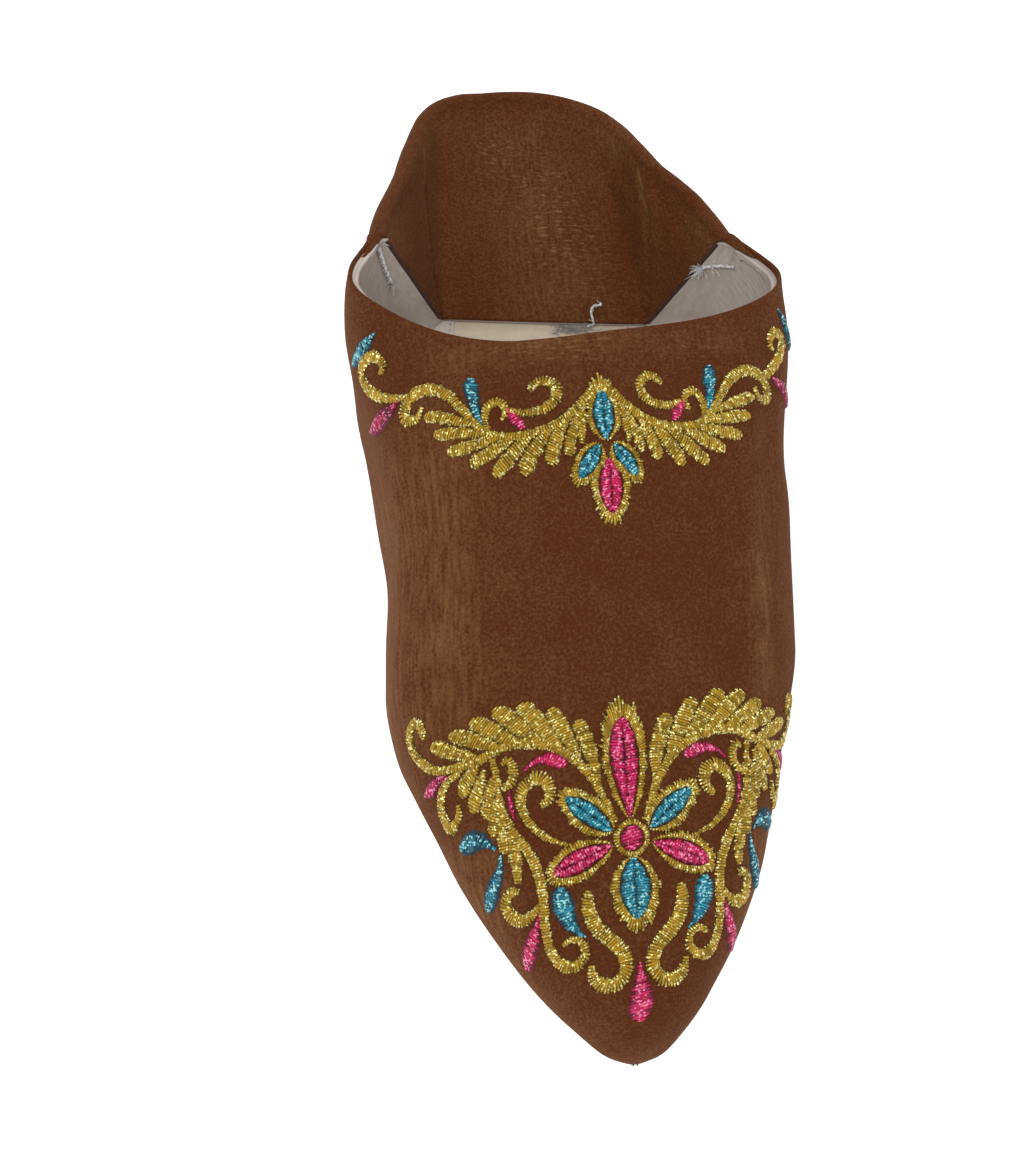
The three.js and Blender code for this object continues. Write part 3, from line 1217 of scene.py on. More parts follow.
@dataclass(frozen=True)
class Cloth:
    """Plain woven tape or loose fibres."""

    name: str
    colour: tuple
    shade: tuple
    threads: float = 3000

    def build(self) -> bpy.types.Material:
        """Makes the material.

        Returns:
            The material.
        """
        recipe = Recipe(self.name)
        weave = recipe.noise(1.0, 2, recipe.coords("UV", (self.threads, self.threads * 0.7, 1)))
        linked = {
            "Base Color": recipe.mix(weave.step(0.3, 0.7), self.shade, self.colour),
            "Roughness": 0.75 + (weave - 0.5) * 0.2,
            "Normal": recipe.bump(weave, 0.00012, 0.7),
        }
        return recipe.close(linked, {"Specular IOR Level": 0.3, "Sheen Weight": 0.1})


class Finish(Enum):
    """The finishes of the slipper, each made once."""

    SUEDE = Suede()
    LINING = Leather(
        "grey_lining_leather", tone(200, 188, 178), tone(162, 149, 139), 900, 0.00022, 0.62, (1, 0.3, 1)
    )
    SOCK = Leather("cream_sock_leather", tone(214, 201, 178), tone(190, 175, 150), 800, 0.00008, 0.55)
    EDGE = Leather(
        "olive_sole_leather", tone(112, 92, 60), tone(84, 66, 42), 500, 0.0001, 0.5, (1, 3, 1), 0.15
    )
    RUBBER = Leather("black_rubber", tone(34, 31, 29), tone(22, 20, 19), 1400, 0.00012, 0.75)
    GOLD = Lame("gold_thread", tone(184, 149, 46), tone(92, 66, 14), tone(252, 244, 170))
    SILVER = Lame(
        "silver_thread", tone(232, 231, 232), tone(158, 157, 162), tone(255, 255, 255), 0.7, metal=0.1
    )
    TURQUOISE = Rayon("turquoise_thread", tone(30, 130, 152), tone(5, 54, 70), tone(170, 236, 240))
    PINK = Rayon("pink_thread", tone(200, 24, 88), tone(94, 3, 34), tone(255, 150, 190))
    BINDING = Cloth("purple_brown_binding", tone(84, 50, 44), tone(52, 28, 26))
    FUZZ = Cloth("grey_thread", tone(196, 192, 192), tone(126, 123, 127))

    def material(self) -> bpy.types.Material:
        """The finish's material, made at its first use."""
        return bpy.data.materials.get(self.value.name) or self.value.build()


def keep(piece: bpy.types.Object, finish: Finish, slot: str | None = None, *nodes: str) -> None:
    """Gives a piece its finish and makes it ride on the slipper.

    Args:
        piece: The piece.
        finish: Its finish.
        slot: Not used.
        nodes: Solids that the piece stands for.
    """
    piece.data.materials.append(finish.material())
    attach(piece, "root")
    if nodes:
        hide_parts(*nodes)
    LOG.info("%s: %d faces", piece.name, len(piece.data.polygons))


# ---- the slipper's pieces


@dataclass
class Upper:
    """Vamp and sides: a suede layer, and the lining leather glued inside it."""

    last: Last
    sheet: VampSheet
    suede: float = 1.0
    lining: float = 0.8
    glue: float = 0.05
    rows: int = 130
    columns: int = 200
    lining_drop: float = 1.1
    lap: float = 0.5
    lining_end: float = 246.0
    facing_width: float = 3.2
    facing_proud: float = 1.2
    facing_depth: float = 1.6
    row_crowding: float = 1.25
    right_drop: float = 0.7

    def grid(self, drop: float, end: float) -> tuple:
        """Shares and stations of a layer.

        Args:
            drop: Distance from the collar at which the layer starts.
            end: Station at which it ends.

        Returns:
            Shares and stations, a row for each step from the collar to the toe.
        """
        way = 1 - (1 - edge_steps(self.rows, 0.5 / 160, 0.5 / 160)) ** self.row_crowding
        share = edge_steps(self.columns, 0.006, 0.006) * 2 - 1
        side_edge = smooth((np.abs(share) - 0.5) / 0.08)
        start = self.last.collar_station(share) + drop * (1 + self.right_drop * (share > 0))
        start = start - self.lap * side_edge
        station = start[None, :] + (end - start)[None, :] * way[:, None]
        return share[None, :] + 0 * station, station

    def skin(self, share: Array, station: Array) -> tuple:
        """The vamp's skin at a grid.

        Args:
            share: Shares of the half girth.
            station: Stations.

        Returns:
            Places, outward directions, distance across and UV.
        """
        places, outward = self.sheet.read(share, station)
        across = share * np.interp(station, self.sheet.stations, self.sheet.girth)
        return places, outward, across, flat_uv(across, station)

    @staticmethod
    def nap(across: Array, station: Array) -> Array:
        """Where the suede is painted lighter: painted sheen on the side walls, and brushed nap in patches
        under the throat and in streaks.

        Args:
            across: Over the skin from the middle.
            station: From the back of the heel.

        Returns:
            Strength.
        """
        side = np.abs(across)
        # Painted sheen: the side walls lighter, the left one more than the right.
        wall = smooth((side - 20) / 28) * smooth((station - 104) / 30) * smooth((205 - station) / 20)
        left = np.where(across < 0, 1.0, 0.2)
        streak = bump_at(across, 38, 3.5) * smooth((station - 136) / 25) * smooth((192 - station) / 12)
        band = bump_at(across, -37, 6) * smooth((station - 100) / 20) * smooth((190 - station) / 20)
        patches = 0.5 + 0.5 * np.sin(across * 0.23 + 1.0) * np.sin(across * 0.11 + 0.4)
        throat = bump_at(station, 104.5, 3.0) * smooth((46 - side) / 14) * (0.1 + 0.4 * patches)
        toe = 0.3 * smooth((side - 22) / 12) * smooth((station - 205) / 12)
        return 0.27 * wall * left + 0.26 * streak + 0.12 * band + 0.5 * throat + toe

    @staticmethod
    def rub(across: Array, station: Array) -> Array:
        """Where fingers have rubbed the nap into ripples, just under the throat."""
        patches = bump_at(across, -8, 12) + 0.6 * bump_at(across, 24, 9) + 0.5 * bump_at(across, -30, 7)
        return 0.9 * patches * bump_at(station, 106, 4.5)

    def build(self) -> None:
        """Makes both layers and the turned edge."""
        share, station = self.grid(0.0, self.last.sole_length)
        places, outward, across, uv = self.skin(share, station)
        marks = {"nap": self.nap(across, station), "rub": self.rub(across, station)}
        keep(layer("upper_suede", places, outward, 0, self.suede, uv, marks), Finish.SUEDE, "suede", "upper")
        share, station = self.grid(self.lining_drop, self.lining_end)
        places, outward, _, uv = self.skin(share, station)
        start = self.last.collar_station(share[0])
        # Near the collar the lining is painted lighter on the left, where its edge is worn whitish, and
        # darker on the right, a painted shade that takes down the highlight of its rounded top edge.
        edge = smooth((start[None, :] + 2.9 - station) / 0.9) * np.where(share < 0, 1.0, -2.2)
        marks = {"wear_and_shade": -0.25 * edge}
        depth = self.suede + self.glue
        keep(layer("upper_lining", places, outward, depth, self.lining, uv, marks), Finish.LINING)
        self.facing()

    def facing(self) -> None:
        """The lining's turned edge: a narrow band, a little proud of the lining, round the collar."""
        last = self.last
        left, right = last.ear_share(-1.0) + 0.01, last.ear_share(1.0) + 0.01
        share = (-left + (left + right) * edge_steps(160, 0.004, 0.004))[:, None]
        wide = self.facing_width + 0.25 * np.sin(share * 37) + 0.15 * np.sin(share * 91)
        drop = self.lining_drop * (1 + self.right_drop * smooth(share * 9 + 0.5)) - 0.1
        station = last.collar_station(share) + drop + wide * edge_steps(12, 0.05, 0.05)[None, :]
        share = share + 0 * station
        places, outward = self.sheet.read(share, station)
        uv, marks = flat_uv(share * 90, station), {"wear_and_shade": -0.2 * (share < 0)}
        band = layer("collar_facing", places, outward, self.facing_depth, self.facing_proud, uv, marks)
        keep(band, Finish.LINING)


@dataclass
class HeelPiece:
    """The back piece, folded down on the insole: suede, lining and the binding on its edge."""

    last: Last
    sheet: HeelSheet
    suede: float = 1.0
    lining: float = 0.85
    glue: float = 0.05
    columns: int = 220
    unrolled: float = 95.0
    lining_taper: float = 0.035
    binding_steps: int = 90
    binding_turns: tuple = (0.356, 0.992)
    binding_radii: tuple = (0.7, 0.8)
    binding_inset: float = 0.42
    binding_drop: float = 0.85

    def grid(self) -> tuple:
        """Steps of the grid.

        Returns:
            Turns, and the three shares of each row: wall, fold and flap.
        """
        wall = np.concatenate([[0, 0.006, 0.02, 0.05], np.linspace(0.09, 1, 22)])
        fold = np.linspace(0, 1, 13)[1:]
        flap = np.concatenate([np.linspace(0, 0.985, 46)[1:], [0.99, 0.996, 1]])
        rows = [
            np.concatenate([wall, np.ones(len(fold) + len(flap))]),
            np.concatenate([np.zeros(len(wall)), fold, np.ones(len(flap))]),
            np.concatenate([np.zeros(len(wall) + len(fold)), flap]),
        ]
        turn = edge_steps(self.columns, 0.004, 0.004) * 2 - 1
        return turn, rows

    @staticmethod
    def creases(turn: Array, flap: Array, width: float) -> tuple:
        """Strength of both creases, from the fold's shoulders to the edge's corners.

        Args:
            turn: Places round the heel.
            flap: Share of the flap's length.
            width: Half width of a crease, as a turn.

        Returns:
            The left and the right one.
        """
        left = bump_at(turn, -0.45 - 0.29 * flap + 0.38 * flap**2, width) * smooth(flap * 8)
        right = bump_at(turn, 0.56 + 0.25 * flap - 0.44 * flap**2, width) * smooth(flap * 8)
        return left, right

    def relief(self, turn: Array, flap: Array) -> Array:
        """Soft creases of the flap and the shallow dish between them.

        Args:
            turn: Places round the heel.
            flap: Share of the flap's length.

        Returns:
            Height over the plain sheet.
        """
        left, right = self.creases(turn, flap, 0.014)
        ridge_left, ridge_right = self.creases(turn + 0.03, flap, 0.02)
        dish = 0.9 * np.sin(np.pi * np.clip(flap, 0, 1)) * smooth((0.32 - np.abs(turn)) / 0.2)
        waves = 0.18 * np.sin(turn * 31 + 2 * np.sin(flap * 7)) * np.sin(np.pi * np.clip(flap, 0, 1))
        return 0.35 * (ridge_left + ridge_right) - 0.7 * (left + right) - dish + waves

    @staticmethod
    def rub(turn: Array, flap: Array) -> Array:
        """Where the heel has rubbed the flap's nap into ripples.

        Args:
            turn: Places round the heel.
            flap: Share of the flap's length.

        Returns:
            Strength.
        """
        middle = bump_at(turn, 0.03 + 0.16 * flap, 0.13) * bump_at(flap, 0.62, 0.24)
        upper = bump_at(turn, -0.08, 0.1) * bump_at(flap, 0.36, 0.12)
        return 1.25 * middle + 0.7 * upper + 0.3 * bump_at(turn, 0.42, 0.1) * bump_at(flap, 0.2, 0.12)

    def nap(self, turn: Array, wall: Array, flap: Array) -> Array:
        """Where the suede is painted lighter: painted highlights along the creases, and lighter on the wall
        and in the middle.

        Args:
            turn: Places round the heel.
            wall: Share of the wall's height.
            flap: Share of the flap's length.

        Returns:
            Strength.
        """
        left, right = self.creases(turn, flap, 0.012)
        # Painted highlights: light streaks down the left crease near its top and the right crease part way
        # down.
        painted_crease_highlight = 0.75 * left * smooth((0.45 - flap) / 0.2) + 0.7 * right * bump_at(flap, 0.33, 0.2)
        shoulder = 0.25 * bump_at(turn, 0.45, 0.12) * bump_at(flap, 0.12, 0.14)
        middle = 0.16 * bump_at(turn, 0.05, 0.2) * smooth(flap * 3)
        wing = 0.16 * smooth((np.abs(turn) - 0.7) / 0.2) * smooth(flap * 6)
        return painted_crease_highlight + shoulder + middle + wing + 0.3 * (1 - wall)

    def build(self) -> None:
        """Makes the layers and the binding."""
        turn, (wall, fold, flap) = self.grid()
        wide = turn[None, :] + 0 * wall[:, None]
        tall = [row[:, None] + 0 * wide for row in (wall, fold, flap)]
        places, outward = self.creased(wide, tall)
        uv = flat_uv(wide * self.unrolled, along_path(places))
        marks = {"nap": self.nap(wide, tall[0], tall[2]), "rub": self.rub(wide, tall[2])}
        shell = layer("heel_suede", places, outward, 0, self.suede, uv, marks)
        keep(shell, Finish.SUEDE, "suede", "heel_counter")
        places, outward = self.creased(wide * (1 - self.lining_taper * tall[1]), tall)
        depth = self.suede + self.glue
        keep(layer("heel_lining", places, outward, depth, self.lining, uv, {"wear_and_shade": 0 * wide}), Finish.LINING)
        self.binding()

    def creased(self, turn: Array, shares: list) -> tuple:
        """The sheet with its creases.

        Args:
            turn: Places round the heel.
            shares: Shares of wall, fold and flap.

        Returns:
            Places and outward directions.
        """
        places = self.sheet.skin(turn, *shares)
        outward = normals(places)
        return places + outward * self.relief(turn, shares[2])[..., None], outward

    def binding(self) -> None:
        """The tape sewn over both slanting ends of the flap's edge."""
        parts = []
        steps, one = np.arange(self.binding_steps), np.ones(self.binding_steps)
        angle = np.linspace(0, 2 * np.pi, 14, endpoint=False)
        oval = np.stack([np.cos(angle), np.sin(angle)], -1) * self.binding_radii
        section = oval[None] * quarter_arc(np.minimum(steps, steps[::-1]) / 2)[:, None, None]
        for side in (-1, 1):
            turn = side * np.linspace(*self.binding_turns, self.binding_steps)
            edge = self.sheet.skin(turn, one, one, one)
            back = self.sheet.skin(turn, one, one, 0.9 * one)
            first, second = across_path(edge, unit(edge - back + np.array([0.0, -1.0, -1.0]) * 0.02))
            above = second * np.sign(second[:, 2:])
            middle = edge - first * self.binding_inset - above * self.binding_drop
            parts.append(sweep(middle, first, second, section))
        keep(add_mesh("flap_binding", *joined(parts), merge=CLOSE), Finish.BINDING)


@dataclass
class SideSeam:
    """What joins vamp and heel piece on one side: tape, bellows of lining, tack stitches, margin."""

    last: Last
    sheet: VampSheet
    heel: HeelSheet
    name: str
    side: float
    tape_width: float = 3.6
    tape_behind: float = 3.0
    tape_depth: float = 1.92
    tape_thickness: float = 0.35
    bellows_lead: float = 1.6
    bellows_sweep: float = 15.0
    bellows_depth: float = 1.55
    bellows_thickness: float = 0.4
    bellows_size: tuple = (8.0, 35.0)
    under_edge: float = 1.2
    tack_count: int = 8
    tack_turn: float = 0.972
    tack_radius: float = 0.52
    margin_start: float = 56.0
    margin_length: float = 178.0
    margin_inset: float = 1.2
    margin_thickness: float = 0.4
    hole_pitch: float = 1.7
    unrolled: float = 100.0

    def build(self) -> None:
        """Makes the side's pieces."""
        for make in (self.tape, self.bellows, self.rolled_end, self.ear_tack, self.margin):
            make()

    def tape(self) -> None:
        """Lining tape behind a side seam."""
        ear = self.last.ear_share(self.side) + 0.02
        share = self.side * (ear + (0.998 - ear) * edge_steps(70, 0.004, 0.004))[:, None]
        start = self.last.seam_at(self.side) - self.tape_behind
        station = (start + self.tape_width * edge_steps(20, 0.02, 0.02))[None, :]
        share, station = share + 0 * station, station + 0 * share
        places, outward = self.sheet.read(share, station)
        uv = flat_uv(np.abs(share) * self.unrolled, station)
        name, marks = f"{self.name}_seam_tape", {"wear_and_shade": 0 * share}
        tape = layer(name, places, outward, self.tape_depth, self.tape_thickness, uv, marks)
        keep(tape, Finish.LINING)

    def bellows_at(self, down: Array, over: Array) -> Array:
        """Places on the fold of lining between the vamp's wall and the flap's slanting edge.

        A place is (1 - over) wall + over edge, both at one height, bowed back by a sine of over.

        Args:
            down: Share of the way from the ear to the insole.
            over: Share of the way from the wall to the flap's edge.

        Returns:
            Places.
        """
        last = self.last
        ear = last.ear_share(self.side) + 0.004
        share = self.side * (ear + (0.99 - ear) * down)
        station = last.seam_at(self.side) + self.bellows_lead + self.bellows_sweep * down
        wall, outward = self.sheet.read(share, station)
        wall = wall - outward * self.bellows_depth
        line = np.linspace(0, 1, 60)
        edge = self.heel.flap_edge(self.side * (1 - (1 - last.crease_share) * line))
        edge = edge - np.array([0.0, 0.0, self.under_edge])
        part = np.interp(-wall[..., 2], -edge[:, 2], line)
        rim = np.stack([np.interp(part, line, edge[:, k]) for k in range(3)], -1)
        places = wall * (1 - over[..., None]) + rim * over[..., None]
        places[..., 1] += (1.4 * down + 0.2) * np.sin(np.pi * over)
        return places

    def bellows(self) -> None:
        """The fold of lining that closes the corner between vamp and flap."""
        down, over = np.meshgrid(edge_steps(50, 0.008, 0.008), edge_steps(12, 0.05, 0.05), indexing="ij")
        places = self.bellows_at(down, over)
        facing = normals(places)
        facing = facing * -np.sign(facing[..., 1:2])
        wide, tall = self.bellows_size
        uv, marks = flat_uv(over * wide, down * tall), {"wear_and_shade": 0 * over}
        fold = layer(f"{self.name}_bellows", places, facing, 0, self.bellows_thickness, uv, marks)
        keep(fold, Finish.LINING)

    def rolled_end(self) -> None:
        """The rolled top end of the lining, between the ear and the flap's binding."""
        over = np.linspace(-0.05, 1.05, 24)
        path = self.bellows_at(np.full(24, 0.015), over) + np.array([0.0, 0.35, 0.3])
        steps = np.arange(24)
        radius = (0.52 - 0.1 * self.side) * quarter_arc(np.minimum(steps, steps[::-1]) / 3)
        places, faces, uv = cord(path, radius, 10)
        marks = {"wear_and_shade": np.zeros(len(places))}
        keep(add_mesh(f"{self.name}_lining_end", places, faces, uv, marks, CLOSE), Finish.LINING)

    def ear_tack(self) -> None:
        """Close stitches of suede-coloured thread that hold the fold's end to the vamp's ear.

        Each stitch bows outwards over the line between its ends by a root of a sine."""
        last = self.last
        part = np.linspace(0.0, 0.85, self.tack_count)
        one = np.ones(self.tack_count)
        turn = self.side * self.tack_turn * one
        heel = self.heel.skin(turn, one, part, 0 * one)
        near = self.heel.skin(turn, one, part + 0.02, 0 * one) - heel
        share = self.side * (last.ear_share(self.side) + 0.035 - 0.085 * part)
        vamp, outward = self.sheet.read(share, last.collar_station(share) + 1.2)
        vamp = vamp - outward * (1.3 * smooth((part - 0.5) / 0.3))[:, None]
        bow = unit(np.cross(near, vamp - heel)) * self.side
        t = np.linspace(0, 1, 12)
        arch = np.clip(np.sin(np.pi * t), 0, 1) ** 0.5
        rise = (0.9 * arch - 0.65)[None, :, None]
        way = t[None, :, None]
        paths = heel[:, None] * (1 - way) + vamp[:, None] * way + bow[:, None] * rise
        places, faces, uv = joined([cord(path, self.tack_radius * arch, 8) for path in paths])
        marks = {"nap": np.full(len(places), 0.1), "rub": np.zeros(len(places))}
        keep(add_mesh(f"{self.name}_ear_tack", places, faces, uv, marks, CLOSE), Finish.SUEDE)

    def margin(self) -> None:
        """A strip of lining turned in over the insole's edge, with needle holes along its free side painted
        as dark dots of painted shade.
        """
        last = self.last
        station = self.margin_start + self.margin_length * edge_steps(520, 0.002, 0.002)[:, None]
        wide = 8.0 - 3.5 * smooth((station - 90) / 40)
        inset = self.margin_inset + wide * edge_steps(26, 0.03, 0.03)[None, :]
        across = last.swing(station) + self.side * (last.sole_half_width(station) - inset)
        height = last.insole_top + last.rise(station) + 0.42 + 2.2 * smooth((2.9 - inset) / 1.7)
        places = np.stack([across, last.sole_length / 2 - station + 0 * across, height], -1)
        outward = np.broadcast_to(np.array([0.0, 0.0, 1.0]), places.shape)
        uv = flat_uv(inset, station)
        from_hole = station % self.hole_pitch - self.hole_pitch / 2
        # Painted shade: dark dots for the needle holes, which the mesh does not have.
        painted_hole_shade = np.exp(-((from_hole / 0.3) ** 2) - ((inset - wide - 0.1) / 0.34) ** 2)
        marks = {"wear_and_shade": 2.2 * painted_hole_shade - 0.6}
        strip = layer(f"{self.name}_margin", places, outward, 0, self.margin_thickness, uv, marks)
        keep(strip, Finish.LINING)


@dataclass
class LooseThreads:
    """Silver sewing thread at both ears, and the tuft of grey fibres by the flap's edge."""

    last: Last
    left: SideSeam
    right: SideSeam
    fibre_radius: float = 0.075
    tuft_count: int = 150
    tuft_across: tuple = (4.2, 14.5)
    tuft_stations: tuple = (68.9, 71.6)
    strand_sides: int = 7
    random: np.random.Generator = field(default_factory=lambda: np.random.default_rng(SEED + 1))

    def tacks(self) -> tuple:
        """Paths of the two silver threads: down the left bellows, and across the right one.

        Returns:
            The left and the right path.
        """
        t = np.linspace(0, 1, 30)
        left = self.left.bellows_at(0.03 + 0.33 * t, 0.34 + 0.1 * t)
        right = self.right.bellows_at(0.24 - 0.14 * t, 0.9 - 0.86 * t)
        bend = np.stack([0 * t, 0.6 + 1.6 * t**2, 0 * t - 0.2], -1)
        return left + np.array([0.0, -0.55, 0.25]), right - bend

    def twisted(self, path: Array, radius: float, pitch: float) -> list:
        """Two strands wound round each other along a path.

        Args:
            path: The middle.
            radius: Radius of one strand.
            pitch: Length of one turn.

        Returns:
            Both strands.
        """
        run = along_path(path)
        at = np.linspace(0, run[-1], max(24, int(run[-1] / pitch * 12)))
        middle = np.stack([np.interp(at, run, path[:, k]) for k in range(3)], -1)
        first, second = across_path(middle, GUIDE)
        angle = (at / pitch * 2 * np.pi)[:, None]
        ends = quarter_arc(np.minimum(at, at[-1] - at) / (2 * radius))
        strands = []
        for phase in (0, np.pi):
            wound = middle + (first * np.cos(angle + phase) + second * np.sin(angle + phase)) * radius * 0.8
            strands.append(cord(wound, radius * ends, self.strand_sides))
        return strands

    def fray(self, root: Array, heading: tuple, count: int, length: float, spread: float) -> list:
        """Thin fibres that leave a root in bent lines: place = root + length (pull t + bend t (1 - t)).

        Args:
            root: Where they start.
            heading: Their common direction.
            count: Number of fibres.
            length: Mean length.
            spread: How far they part.

        Returns:
            The fibres.
        """
        fibres = []
        t = np.linspace(0, 1, 10)[:, None]
        radius = self.fibre_radius * np.sqrt(np.clip(np.sin(np.pi * t[:, 0]), 0, 1))
        for _ in range(count):
            pull = np.array(heading) + self.random.normal(0, spread, 3)
            bend = self.random.normal(0, spread, 3)
            long = length * self.random.uniform(0.5, 1.3)
            path = root + self.random.normal(0, 0.25, 3) + long * (pull * t + bend * t * (1 - t))
            fibres.append(cord(path, radius, 5))
        return fibres

    def tuft(self) -> tuple:
        """Grey fibres matted on the insole, and the curled end of a silver thread.

        Returns:
            The fibres and the thread's strands.
        """
        back = self.last.sole_length / 2
        floor = self.last.insole_top + 0.25
        fibres = []
        for _ in range(self.tuft_count):
            across = self.random.uniform(*self.tuft_across)
            root = np.array([across, back - self.random.uniform(*self.tuft_stations), floor])
            aim = self.random.uniform(0, 2 * np.pi)
            heading = (math.cos(aim), math.sin(aim) * 0.5, self.random.uniform(0.05, 0.5))
            fibres += self.fray(root, heading, 1, 2.6, 0.35)
        t = np.linspace(0, 1, 40)
        across = 13.0 + 3.2 * t + 0.8 * np.sin(9 * t)
        rear = back - 70.6 + 6.4 * t + 0.7 * np.cos(10 * t)
        curl = np.stack([across, rear, floor + 0.6 + 3.4 * smooth(t * 1.6)], -1)
        return fibres, self.twisted(curl, 0.2, 1.1)

    def build(self) -> None:
        """Makes the threads and the fibres."""
        left, right = self.tacks()
        fibres, curl = self.tuft()
        silver = self.twisted(left, 0.38, 2.4) + self.twisted(right, 0.28, 1.9) + curl
        silver += self.fray(left[-1], (0.5, -0.5, -0.7), 16, 2.2, 0.35)
        silver += self.fray(right[1], (-0.5, -0.3, -0.3), 110, 2.5, 0.45)
        silver += self.fray(right[9], (0.1, -0.2, 0.3), 24, 2.2, 0.5)
        strand = curl[0][0].reshape(-1, self.strand_sides, 3).mean(1)
        for part in (6, 14, 22, 30, 38):
            silver += self.fray(strand[part * len(strand) // 40], (0.0, 0.0, 0.3), 4, 1.2, 0.6)
        ear = self.left.bellows_at(np.array([0.02]), np.array([8 / 15]))[0]
        silver += self.fray(ear, (0.0, -0.2, 0.5), 14, 1.3, 0.5)
        own = np.concatenate([np.full(len(part[0]), 0.15 + 0.8 * (k % 2)) for k, part in enumerate(silver)])
        places, faces, uv = joined(silver)
        marks = {"along": np.full(len(places), 0.5), "own": own}
        keep(add_mesh("silver_threads", places, faces, uv, marks, CLOSE), Finish.SILVER)
        keep(add_mesh("grey_fibres", *joined(fibres), merge=CLOSE), Finish.FUZZ)


@dataclass
class Sole:
    """Outsole, midsole and insole: slabs with soft edges that follow the last."""

    last: Last
    steps: int = 110
    collapses: tuple = (1.0, 0.55, 0.2)
    face_inset: float = 0.8
    groove_width: float = 0.07
    insets_in_length: float = 2.3
    tip_closing: float = 10.0
    side_ring: int = 8

    def rings(self, tall: float, soft: float, grooves: tuple) -> list:
        """Rings of a slab, from the middle of its underside over the edge to the middle of its top.

        Args:
            tall: Thickness of the slab.
            soft: Radius of its edges.
            grooves: Pairs of height share and depth of grooves round the edge.

        Returns:
            Collapse to the middle line, depth and height of each ring.
        """
        angle = np.linspace(0, np.pi / 2, 5)
        edge = [(soft * (1 - np.sin(a)), soft * (1 - np.cos(a))) for a in angle]
        rings = [(c, 0.0, 0.0) for c in self.collapses] + [(0.0, d, z) for d, z in edge]
        for z in soft + (tall - 2 * soft) * np.linspace(0, 1, 12)[1:-1]:
            rings.append((0.0, sum(d * bump_at(z / tall, s, self.groove_width) for s, d in grooves), z))
        rings += [(0.0, d, tall - z) for d, z in edge[::-1]]
        return rings + [(c, 0.0, tall) for c in self.collapses[::-1]]

    def slab(
        self, name: str, inset: float, low: float, high: float, soft: float, grooves: tuple = ()
    ) -> bpy.types.Object:
        """A slab between two levels.

        Args:
            name: Name of the piece.
            inset: Distance of its edge from the sole's outline.
            low: Lower level.
            high: Upper level.
            soft: Radius of its edges.
            grooves: Pairs of height share and depth of grooves round the edge.

        Returns:
            The piece.
        """
        last = self.last
        rings = self.rings(high - low, soft, grooves)
        share = (1 - np.cos(np.linspace(0, np.pi, self.steps))) / 2
        loop = np.concatenate([share, share[::-1][1:-1]])
        sign = np.concatenate([np.ones(self.steps), -np.ones(self.steps - 2)])
        places = []
        for collapse, depth, height in rings:
            edge_inset = inset + depth + (self.face_inset if collapse else 0.0)
            half = last.sole_half_width(loop * last.sole_length)
            half = (half - edge_inset * np.tanh(half / self.tip_closing)) * (1 - collapse)
            station = edge_inset + loop * (last.sole_length - self.insets_in_length * edge_inset)
            across, level = last.swing(station) + sign * half, low + height + last.rise(station)
            places.append(np.stack([across, last.sole_length / 2 - station, level], -1))
        places = np.stack(places)
        faces = grid_faces(len(rings), len(loop), wrap=True)
        uv = flat_uv(along_path(places[self.side_ring]), places[..., 2] + places[..., 0] * 0.3)
        return add_mesh(name, places.reshape(-1, 3), faces, uv.reshape(-1, 2), merge=0.02)

    def build(self) -> None:
        """Makes the three slabs."""
        last = self.last
        slab = self.slab("outsole_sheet", 1.8, 0.0, last.outsole, 0.35)
        keep(slab, Finish.RUBBER, "outsole_rubber", "outsole")
        top = last.midsole_level + last.midsole
        slab = self.slab("midsole_board", 0.5, last.midsole_level, top, 0.45, ((0.72, 0.35),))
        keep(slab, Finish.EDGE, "sole_leather", "midsole")
        slab = self.slab("insole_sock", last.wall + 0.15, last.feather_level, last.insole_top, 0.35)
        keep(slab, Finish.SOCK, "insole_leather", "insole")


# ---- embroidery


class Form(Enum):
    """Outlines of a petal: where along its length it is widest, and how round its ends are."""

    LEAF = (1.0, 0.62)
    CLUB = (1.5, 0.52)
    EGG = (1.3, 0.54)

    def half(self, share: Array) -> Array:
        """Half width at a share of the length: sin(pi t^a)^b."""
        place, power = self.value
        return np.sin(np.pi * np.clip(share, 0, 1) ** place) ** power


class Ends(Enum):
    """Which ends of a run of stitches are round."""

    NONE = (False, False)
    FIRST = (True, False)
    LAST = (False, True)
    BOTH = (True, True)


@dataclass(frozen=True)
class Run:
    """One run of satin stitches along a path of (across, station, width)."""

    path: tuple
    ends: Ends = Ends.LAST
    mirrored: bool = True


@dataclass(frozen=True)
class Petal:
    """A petal: two fills that meet at its vein, and a border of gold stitches."""

    root: tuple
    tip: tuple
    half_width: float
    form: Form
    border: float
    overshoot: float
    mirrored: bool = True


